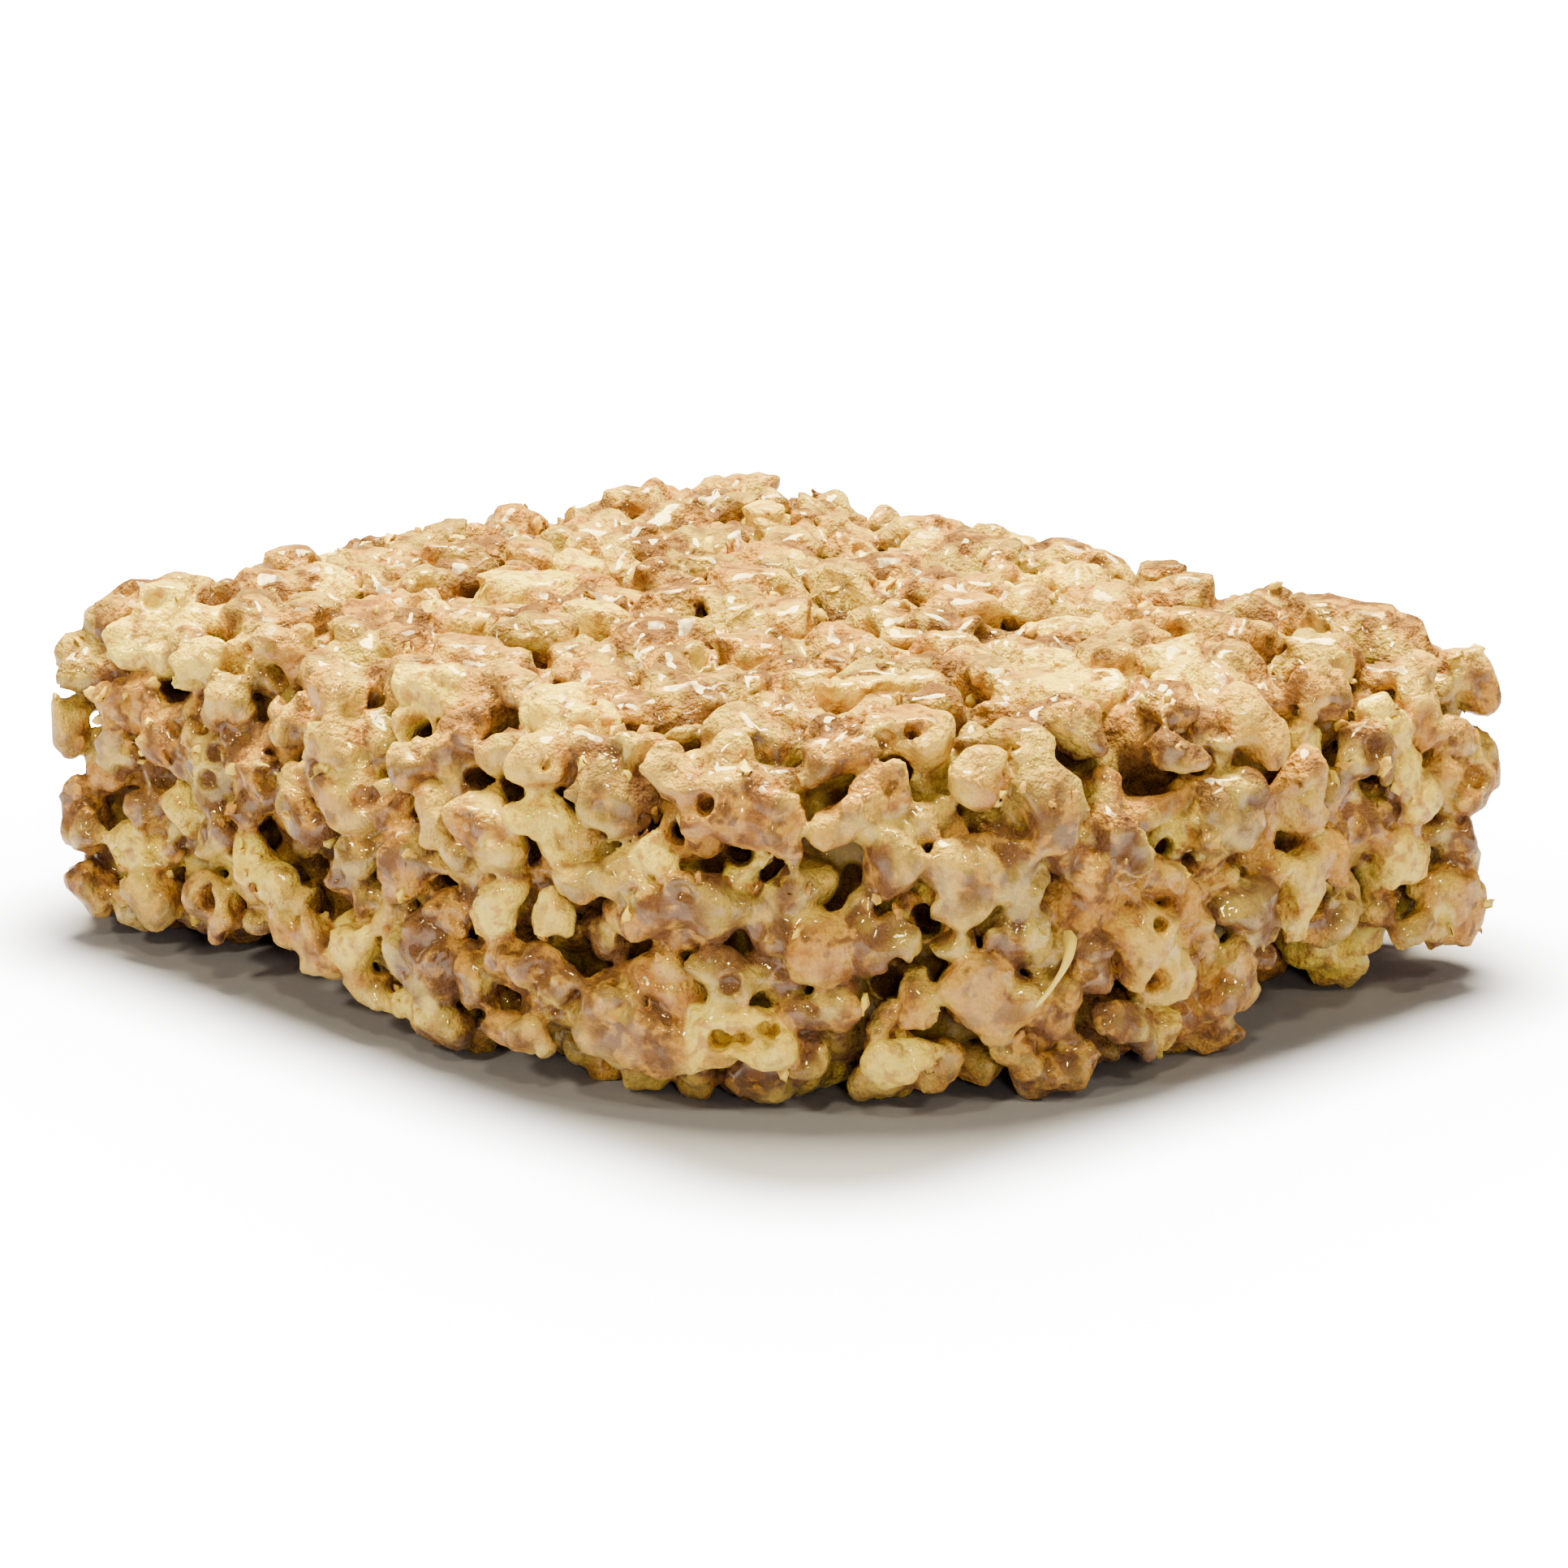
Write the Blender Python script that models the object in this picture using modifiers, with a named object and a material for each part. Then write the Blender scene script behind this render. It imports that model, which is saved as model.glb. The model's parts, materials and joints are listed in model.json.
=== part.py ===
"""A thick bar of crisped rice, bound with marshmallow and pressed in a round-cornered pan.

The bar is one solid. A slab with lumps of the puffs' size carries the puffs that stand out of it,
and one union makes them a single body. The bar lies on its flat underside, at z = 0.
"""

import math

import bmesh
import bpy
import numpy as np
from mathutils import Matrix, Vector, noise

# Driving dimensions of the pressed bar. X is along its length and Y across it.
MM = 0.001
BAR_LENGTH = 76 * MM
BAR_WIDTH = 64 * MM
BAR_HEIGHT = 24 * MM
PAN_CORNER_RADIUS = 31 * MM
CUT_CORNER_RADIUS = 6 * MM
TOP_EDGE_RADIUS = 6.5 * MM
BOTTOM_EDGE_RADIUS = 4.8 * MM

# Hollows under the sides, where puffs have dropped off: centre and half sizes.
HOLLOWS = (
    ((39 * MM, 11.5 * MM, -0.4 * MM), (12 * MM, 6.4 * MM, 6.2 * MM)),
    ((39 * MM, 25 * MM, -0.4 * MM), (9 * MM, 9 * MM, 3.2 * MM)),
    ((-13 * MM, -33 * MM, -0.4 * MM), (14 * MM, 8 * MM, 4.2 * MM)),
)
HOLLOW_SIDES = 12
HOLLOW_RINGS = 6

# One toasted puff of rice.
PUFF_LENGTH = 7.2 * MM
PUFF_LENGTH_SPREAD = 0.9 * MM
SHORTEST_PUFF = 5.4 * MM
LONGEST_PUFF = 9.2 * MM
PUFF_WIDTH = 3.5 * MM
PUFF_WIDTH_SPREAD = 0.35 * MM
FLATTEST_PUFF = 0.82
PUFF_BEND = 0.6 * MM
PUFF_SIDES = 5
PUFF_RINGS = 4
END_RING_PLACE = 0.8
END_RING_WIDTH = 0.74

# Puffs that lie in known places on the two cut sides and the pan corner, in millimetres:
# centre, direction of the long axis, length and width. The largest come first.
PLACED_PUFFS = (
    ((36.9, -3.2, 8.3), (0.01, 0.49, -0.87), 7.3, 4.0),
    ((18.4, -28.6, 5.3), (0.68, 0.28, -0.68), 6.5, 4.4),
    ((24.8, -24.8, 18.6), (0.8, 0.55, -0.22), 8.2, 3.5),
    ((36.4, 3.7, 15.4), (0.01, 0.88, -0.48), 5.9, 4.1),
    ((2.9, -30.8, 6.3), (0.89, 0, -0.45), 6.2, 3.9),
    ((25, -25.5, 5.5), (0.76, 0.63, -0.18), 7.3, 3.2),
    ((34, -14.1, 6.9), (0.25, 0.52, -0.82), 5.9, 3.7),
    ((16.8, -28.6, 18.5), (0.88, 0.2, -0.44), 6.2, 3.3),
    ((34.7, -9.1, 2), (0.26, 0.96, 0.09), 5.8, 3.4),
    ((35, -10.6, 19.2), (0.43, 0.42, -0.8), 5.4, 3.6),
    ((29.1, -15, 22.6), (0.92, 0.33, -0.2), 5.0, 3.8),
    ((3.1, -30.2, 19.8), (0.6, 0.52, 0.61), 7.3, 2.5),
    ((37.1, 24.2, 4), (-0.08, 0.97, -0.22), 8.9, 2.0),
    ((8.7, -30.8, 15.3), (0.75, 0.05, -0.66), 5.8, 3.0),
    ((36.5, 22.7, 19.6), (0.38, -0.01, -0.92), 6.2, 2.8),
    ((36, 6.7, 20.5), (0.5, 0.45, -0.74), 5.0, 3.5),
    ((28.2, -22.5, 10.8), (0.24, 0.35, -0.9), 4.9, 3.5),
    ((37, 19.3, 17.8), (0.1, 0.56, -0.83), 7.3, 2.3),
    ((-13.3, -31.1, 8.9), (0.97, -0.05, -0.23), 6.9, 2.5),
    ((29.5, -20.4, 19), (0.31, 0.77, 0.56), 7.1, 2.4),
    ((36.9, 5.9, 8.7), (0, 0.78, -0.63), 5.8, 2.9),
    ((-18.9, -31.1, 5.4), (0.97, 0, -0.26), 5.5, 3.0),
    ((33.2, -16, 15), (0.08, 0.33, -0.94), 5.5, 3.0),
    ((9.2, -31, 15.3), (0.67, 0.06, -0.74), 5.8, 2.8),
    ((37.4, 10.4, 16.1), (-0.03, 0.13, -0.99), 6.0, 2.7),
    ((36.7, -4.3, 3.9), (-0.06, 0.81, -0.58), 7.1, 2.2),
    ((30.5, -19.5, 11.8), (0.31, 0.46, -0.83), 4.4, 3.5),
    ((23.1, -26.3, 13.4), (0.7, 0.47, -0.53), 4.6, 3.3),
    ((34.4, -12.2, 11.3), (0.47, 0.68, -0.56), 4.6, 3.4),
    ((4.3, -26, 23.3), (0.98, -0.2, -0.02), 6.6, 2.3),
    ((-33, -30.9, 8.2), (0.55, -0.21, -0.81), 5.1, 3.0),
    ((10.8, -30.8, 3.5), (0.98, 0.17, -0.13), 5.9, 2.5),
    ((37.1, 20.3, 9.5), (-0.01, 0.84, -0.54), 4.7, 3.1),
    ((34.3, -12.3, 14.7), (0.36, 0.82, -0.44), 4.6, 3.2),
    ((17.7, -29.3, 13.9), (0.94, 0.35, -0.02), 6.4, 2.2),
    ((35.7, 29.1, 19.7), (0.36, 0.4, -0.85), 5.3, 2.6),
    ((36.9, 16.1, 17.3), (0, 0.83, -0.56), 4.9, 2.8),
    ((-13.6, -30.8, 13.3), (0.85, 0, 0.53), 7.4, 1.8),
    ((-26.1, -31.1, 4.3), (0.92, 0.05, -0.39), 4.7, 2.9),
    ((35.5, 13.4, 21.5), (0.23, 0.95, -0.22), 4.8, 2.8),
    ((-0.6, -28.3, 22.2), (0.96, 0.27, -0.03), 6.1, 2.2),
    ((36.6, -5, 15.8), (0.1, 0.63, -0.77), 4.7, 2.8),
    ((37.2, 25.2, 6.5), (0, 0.94, -0.35), 5.0, 2.6),
    ((-15.6, -28.5, 22.5), (1, 0.04, 0.02), 6.0, 2.2),
    ((31, -19.3, 16.4), (0.08, 0.1, -0.99), 4.6, 2.8),
    ((-7.8, -31.2, 5.2), (0.67, 0.01, -0.74), 4.8, 2.6),
    ((37.3, 0.8, 9.7), (0, 0.5, -0.86), 5.7, 2.2),
    ((37.6, 9.7, 9.4), (0, 0.14, -0.99), 6.1, 2.0),
    ((0.3, -31.2, 11.8), (0.32, -0.01, -0.95), 4.7, 2.6),
    ((28, -22.2, 7.2), (0.7, 0.68, 0.21), 5.1, 2.3),
    ((-35.2, -30.5, 14.2), (0.03, 0.02, -1), 4.4, 2.7),
    ((-26.6, -30.6, 10.3), (1, -0.01, -0.08), 4.4, 2.6),
    ((-7.6, -29.6, 21.4), (0.88, -0.32, -0.35), 4.4, 2.6),
    ((27.5, -19.8, 21.7), (0.31, 0.9, 0.31), 5.8, 1.9),
    ((9.5, -31, 10.7), (0.75, 0.07, 0.65), 4.9, 2.2),
    ((20.8, -11.5, 23.5), (0.56, 0.83, 0), 6.2, 1.8),
    ((-21.1, -30.4, 20.5), (0.93, 0.19, 0.33), 4.7, 2.3),
    ((23.9, -25.9, 9.2), (0.49, 0.32, -0.81), 3.8, 2.9),
    ((31.8, -18.6, 3.9), (0.58, 0.81, 0.08), 4.9, 2.2),
    ((34.2, 1.2, 22.6), (0.53, 0.81, -0.27), 4.4, 2.4),
)

# How the other puffs lie in the bar's skin.
PUFFS = 182
PUFF_SPACING = 6.3 * MM
CANDIDATES = 14000
SKIN_REACH = 2 * MM
MOST_TILT = math.radians(24)
SUNK_SHARE = 0.45
SUNK_BY_TILT = 0.34
PRESSED_HEIGHT = BAR_HEIGHT + 0.15 * MM
UNDERSIDE_NORMAL = -0.55
LAYOUT_SEED = 11

# The slab behind them.
SLAB_INSET = 1.7 * MM
SLAB_MESH = 2.8 * MM
LUMP_SIZE = 5.6 * MM
LUMP_HEIGHT = 3.2 * MM
FLAT_BAND = 1.2 * MM
ARC_STEPS = 8

SOLID_NAME = "cereal_bar"
TOASTED_RICE = (0.60, 0.41, 0.22, 1.0)
TOASTED_RICE_ROUGHNESS = 0.42
CREASE_ANGLE = math.radians(50)


def clear_scene():
    for obj in list(bpy.data.objects):
        bpy.data.objects.remove(obj)


def collection_named(name):
    collection = bpy.data.collections.new(name)
    bpy.context.scene.collection.children.link(collection)
    return collection


def toasted_rice():
    material = bpy.data.materials.new("toasted rice and marshmallow")
    material.use_nodes = True
    shader = material.node_tree.nodes["Principled BSDF"]
    shader.inputs["Base Color"].default_value = TOASTED_RICE
    shader.inputs["Roughness"].default_value = TOASTED_RICE_ROUGHNESS
    shader.inputs["Metallic"].default_value = 0.0
    return material


def plan_distance(x, y):
    """Distance to the bar's outline seen from above, negative inside. One corner follows the pan."""
    radius = np.where((x > 0) & (y < 0), PAN_CORNER_RADIUS, CUT_CORNER_RADIUS)
    along = np.abs(x) - BAR_LENGTH / 2 + radius
    across = np.abs(y) - BAR_WIDTH / 2 + radius
    rounded = np.hypot(np.maximum(along, 0), np.maximum(across, 0))
    return rounded + np.minimum(np.maximum(along, across), 0) - radius


def bar_distance(points):
    """Distance of each point to the bar's outer form, negative inside."""
    x, y, z = points.T
    edge = np.where(z > BAR_HEIGHT / 2, TOP_EDGE_RADIUS, BOTTOM_EDGE_RADIUS)
    beside = plan_distance(x, y) + edge
    above = np.abs(z - BAR_HEIGHT / 2) - BAR_HEIGHT / 2 + edge
    rounded = np.hypot(np.maximum(beside, 0), np.maximum(above, 0))
    distance = rounded + np.minimum(np.maximum(beside, above), 0) - edge
    for centre, half_sizes in HOLLOWS:
        reach = np.linalg.norm((points - centre) / half_sizes, axis=1)
        distance = np.maximum(distance, (1 - reach) * min(half_sizes))
    return distance


def outward(points):
    """The direction straight out of the bar at each point."""
    step = 0.05 * MM
    slope = np.empty_like(points)
    for axis in range(3):
        shift = np.zeros(3)
        shift[axis] = step
        slope[:, axis] = bar_distance(points + shift) - bar_distance(points - shift)
    return slope / np.maximum(np.linalg.norm(slope, axis=1, keepdims=True), 1e-12)


def skin_points(rng):
    """Points spread evenly over the bar's outer form, with the way out at each."""
    half = np.array([BAR_LENGTH / 2, BAR_WIDTH / 2, BAR_HEIGHT / 2]) + SKIN_REACH
    points = rng.uniform(-half, half, (CANDIDATES, 3)) + (0, 0, BAR_HEIGHT / 2)
    points = points[np.abs(bar_distance(points)) < SKIN_REACH]
    points -= outward(points) * bar_distance(points)[:, None]
    return points, outward(points)


def placed_puffs():
    """The puffs with known places, each with the way out of the bar at its centre."""
    laid = []
    for centre, axis, length, width in PLACED_PUFFS:
        centre = Vector(centre) * MM
        way_out = outward(np.array([centre]))[0]
        laid.append((centre, Vector(axis).normalized(), Vector(way_out), length * MM, width * MM))
    return laid


def lay_puffs():
    """Where each puff lies: centre, long axis, the way out, length and width."""
    rng = np.random.default_rng(LAYOUT_SEED)
    points, ways_out = skin_points(rng)
    lengths = rng.normal(PUFF_LENGTH, PUFF_LENGTH_SPREAD, PUFFS).clip(SHORTEST_PUFF, LONGEST_PUFF)
    lengths = np.sort(lengths)[::-1]
    laid = placed_puffs()
    spots = np.array([centre for centre, *_ in laid])
    for point, way_out in zip(points, ways_out):
        if len(laid) == PUFFS:
            break
        if way_out[2] < UNDERSIDE_NORMAL:
            continue
        if np.linalg.norm(spots - point, axis=1).min() < PUFF_SPACING:
            continue
        spots = np.vstack([spots, point])
        width = rng.normal(PUFF_WIDTH, PUFF_WIDTH_SPREAD)
        turn = rng.uniform(0, math.tau)
        tilt = rng.uniform(-MOST_TILT, MOST_TILT)
        sideways = Vector(way_out).orthogonal().normalized()
        sideways.rotate(Matrix.Rotation(turn, 3, Vector(way_out)))
        axis = sideways * math.cos(tilt) + Vector(way_out) * math.sin(tilt)
        length = lengths[len(laid) - len(PLACED_PUFFS)]
        sunk = SUNK_SHARE * width + SUNK_BY_TILT * abs(math.sin(tilt)) * length
        laid.append((Vector(point - way_out * sunk), axis, Vector(way_out), length, width))
    return laid


def puff_object(place, index, rng, collection):
    """One puff as a low closed form: an upright sphere made long, filled at its ends, bent and turned."""
    centre, axis, way_out, length, width = place
    flatness = rng.uniform(FLATTEST_PUFF, 1)
    bend = rng.uniform(-PUFF_BEND, PUFF_BEND)
    across = axis.cross(way_out).normalized()
    lift = across.cross(axis).normalized()
    turn = Matrix((across, lift, axis)).transposed().to_4x4()
    form = bmesh.new()
    bmesh.ops.create_uvsphere(form, u_segments=PUFF_SIDES, v_segments=PUFF_RINGS, radius=1)
    for vert in form.verts:
        ring_width = math.hypot(vert.co.x, vert.co.y)
        if 0.1 < ring_width < 0.9:
            vert.co.x *= END_RING_WIDTH / ring_width
            vert.co.y *= END_RING_WIDTH / ring_width
            vert.co.z = math.copysign(END_RING_PLACE, vert.co.z)
        along = vert.co.z
        vert.co.x = vert.co.x * width / 2 + bend * (1 - along * along)
        vert.co.y *= flatness * width / 2
        vert.co.z = along * length / 2
    mesh = bpy.data.meshes.new(f"puff_{index:03d}")
    form.transform(Matrix.Translation(centre) @ turn)
    lowest = min(vert.co.z for vert in form.verts)
    if lowest < 0:
        form.transform(Matrix.Translation((0, 0, -lowest)))
    for vert in form.verts:
        vert.co.z = min(vert.co.z, PRESSED_HEIGHT)
    form.to_mesh(mesh)
    form.free()
    puff = bpy.data.objects.new(mesh.name, mesh)
    collection.objects.link(puff)
    return puff


def slab_outline(inset):
    """Points round the slab seen from above: four arcs, the large one at the pan's corner."""
    corners = (
        (1, -1, PAN_CORNER_RADIUS, -90),
        (1, 1, CUT_CORNER_RADIUS, 0),
        (-1, 1, CUT_CORNER_RADIUS, 90),
        (-1, -1, CUT_CORNER_RADIUS, 180),
    )
    points = []
    for side_x, side_y, radius, start in corners:
        centre_x = side_x * (BAR_LENGTH / 2 - radius)
        centre_y = side_y * (BAR_WIDTH / 2 - radius)
        arc_radius = max(radius - inset, 0.2 * MM)
        for step in range(ARC_STEPS + 1):
            angle = math.radians(start + 90 * step / ARC_STEPS)
            points.append((centre_x + arc_radius * math.cos(angle), centre_y + arc_radius * math.sin(angle)))
    return points


def plain_slab():
    """The slab before its lumps: a flat outline with thickness and rounded edges."""
    top = BAR_HEIGHT - SLAB_INSET
    edge = BOTTOM_EDGE_RADIUS
    outline = slab_outline(SLAB_INSET + edge)
    curve = bpy.data.curves.new("slab outline", "CURVE")
    curve.dimensions = "2D"
    curve.fill_mode = "BOTH"
    curve.extrude = top / 2 - edge
    curve.bevel_depth = edge
    curve.bevel_resolution = 2
    spline = curve.splines.new("POLY")
    spline.points.add(len(outline) - 1)
    for point, (x, y) in zip(spline.points, outline):
        point.co = (x, y, 0, 1)
    spline.use_cyclic_u = True
    guide = bpy.data.objects.new("slab outline", curve)
    guide.location.z = top / 2
    bpy.context.scene.collection.objects.link(guide)
    bpy.context.view_layer.update()
    mesh = bpy.data.meshes.new_from_object(guide.evaluated_get(bpy.context.evaluated_depsgraph_get()))
    mesh.transform(guide.matrix_world)
    bpy.data.objects.remove(guide)
    weld(mesh)
    return mesh


def weld(mesh):
    form = bmesh.new()
    form.from_mesh(mesh)
    bmesh.ops.remove_doubles(form, verts=form.verts, dist=0.02 * MM)
    bmesh.ops.recalc_face_normals(form, faces=form.faces)
    form.to_mesh(mesh)
    form.free()


def applied(obj):
    """The object with its modifiers made part of its mesh."""
    bpy.context.view_layer.update()
    graph = bpy.context.evaluated_depsgraph_get()
    mesh = bpy.data.meshes.new_from_object(obj.evaluated_get(graph))
    obj.modifiers.clear()
    obj.data = mesh
    return obj


def lumpy_slab(collection):
    """The slab with an even mesh, lumps of the puffs' size, and a flat underside."""
    slab = bpy.data.objects.new(SOLID_NAME, plain_slab())
    collection.objects.link(slab)
    remesh = slab.modifiers.new("even mesh", "REMESH")
    remesh.mode = "VOXEL"
    remesh.voxel_size = SLAB_MESH
    applied(slab)
    form = bmesh.new()
    form.from_mesh(slab.data)
    form.normal_update()
    for vert in form.verts:
        if vert.co.z < FLAT_BAND:
            vert.co.z = 0
            continue
        nearest = noise.voronoi(vert.co / LUMP_SIZE)[0][0]
        vert.co += vert.normal * LUMP_HEIGHT * (0.5 - nearest)
        vert.co.z = max(vert.co.z, 0.4 * MM)
    bmesh.ops.dissolve_limit(form, angle_limit=math.radians(1), verts=form.verts, edges=form.edges)
    bmesh.ops.triangulate(form, faces=form.faces)
    form.to_mesh(slab.data)
    form.free()
    return slab


def cut_hollows(slab):
    """Takes the hollows out of the slab's underside, where it meets the sides."""
    cutters = collection_named("cutters")
    cutters.hide_render = True
    for index, (centre, half_sizes) in enumerate(HOLLOWS):
        form = bmesh.new()
        bmesh.ops.create_uvsphere(form, u_segments=HOLLOW_SIDES, v_segments=HOLLOW_RINGS, radius=1)
        form.transform(Matrix.Translation(centre) @ Matrix.Diagonal((*half_sizes, 1)))
        mesh = bpy.data.meshes.new(f"hollow_{index}")
        form.to_mesh(mesh)
        form.free()
        cutter = bpy.data.objects.new(mesh.name, mesh)
        cutter.display_type = "WIRE"
        cutter.hide_render = True
        cutters.objects.link(cutter)
    cut = slab.modifiers.new("hollows", "BOOLEAN")
    cut.operation = "DIFFERENCE"
    cut.operand_type = "COLLECTION"
    cut.collection = cutters
    cut.solver = "EXACT"
    applied(slab)


def join_puffs(slab, puffs):
    """Unites the slab with every puff in the collection, then removes the separate puffs."""
    union = slab.modifiers.new("fused puffs", "BOOLEAN")
    union.operation = "UNION"
    union.operand_type = "COLLECTION"
    union.collection = puffs
    union.solver = "EXACT"
    applied(slab)
    for puff in list(puffs.objects):
        bpy.data.objects.remove(puff)
    bpy.data.collections.remove(puffs)


def keep_outer_skin(mesh):
    """Fills sealed hollows and drops loose scraps: only the largest closed skin is kept."""
    form = bmesh.new()
    form.from_mesh(mesh)
    unseen = set(form.verts)
    skins = []
    while unseen:
        skin = [unseen.pop()]
        for vert in skin:
            for edge in vert.link_edges:
                other = edge.other_vert(vert)
                if other in unseen:
                    unseen.remove(other)
                    skin.append(other)
        skins.append(skin)
    skins.sort(key=len)
    for skin in skins[:-1]:
        bmesh.ops.delete(form, geom=skin, context="VERTS")
    bmesh.ops.triangulate(form, faces=form.faces)
    form.to_mesh(mesh)
    form.free()


def main():
    clear_scene()
    bar = collection_named("crisped rice bar")
    puffs = collection_named("puffs")
    slab = lumpy_slab(bar)
    cut_hollows(slab)
    rng = np.random.default_rng(LAYOUT_SEED + 1)
    for index, place in enumerate(lay_puffs()):
        puff_object(place, index, rng, puffs)
    join_puffs(slab, puffs)
    keep_outer_skin(slab.data)
    slab.data.materials.clear()
    slab.data.materials.append(toasted_rice())
    slab.data.shade_smooth()
    slab.data.set_sharp_from_angle(angle=CREASE_ANGLE)


main()
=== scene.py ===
"""Looks for the crisped rice bar: glazed puffs, marshmallow, strings, crumbs and the photo stage.

The puffs and the marshmallow are worked out together as one distance field, because the binder
wets every puff and draws fillets and webs between them. Each kind of material is then meshed from
that field as a closed piece of its own. The large puffs lie where the solid bar has them.
"""

import functools
import json
import math

import bpy
import numpy as np
import openvdb
from bpy.props import FloatProperty, FloatVectorProperty, IntProperty, PointerProperty
from mathutils import Matrix, Vector

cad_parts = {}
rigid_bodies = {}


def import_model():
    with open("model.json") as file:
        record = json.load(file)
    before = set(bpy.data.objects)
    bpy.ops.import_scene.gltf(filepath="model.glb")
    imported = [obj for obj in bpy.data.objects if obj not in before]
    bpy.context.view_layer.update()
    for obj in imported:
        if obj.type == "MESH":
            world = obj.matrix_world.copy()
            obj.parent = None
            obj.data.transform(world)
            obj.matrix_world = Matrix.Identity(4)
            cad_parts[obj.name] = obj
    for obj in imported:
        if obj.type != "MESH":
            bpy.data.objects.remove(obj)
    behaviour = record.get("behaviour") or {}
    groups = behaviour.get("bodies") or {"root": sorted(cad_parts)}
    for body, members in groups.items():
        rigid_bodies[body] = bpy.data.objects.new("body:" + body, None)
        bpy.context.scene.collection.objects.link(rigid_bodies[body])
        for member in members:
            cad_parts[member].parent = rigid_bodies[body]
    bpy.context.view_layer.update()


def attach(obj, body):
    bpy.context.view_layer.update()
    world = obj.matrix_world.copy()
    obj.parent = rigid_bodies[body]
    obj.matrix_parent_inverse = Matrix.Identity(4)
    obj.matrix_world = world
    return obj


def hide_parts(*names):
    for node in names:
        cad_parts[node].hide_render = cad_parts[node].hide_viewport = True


bl_info = {
    "name": "Crisped Rice Bar",
    "version": (1, 0, 0),
    "blender": (4, 5, 0),
    "location": "3D View > Sidebar > Rice Bar",
    "description": "Builds a marshmallow-bound crisped rice bar and its photo stage",
    "category": "Object",
}

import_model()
BAR_NODE = "cereal_bar"
BODY = "root"
MM = 0.001

# The hollows under the sides, as in the solid: centre and half sizes.
HOLLOWS = (
    ((39 * MM, 11.5 * MM, -0.4 * MM), (12 * MM, 6.4 * MM, 6.2 * MM)),
    ((39 * MM, 25 * MM, -0.4 * MM), (9 * MM, 9 * MM, 3.2 * MM)),
    ((-13 * MM, -33 * MM, -0.4 * MM), (14 * MM, 8 * MM, 4.2 * MM)),
)

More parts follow.
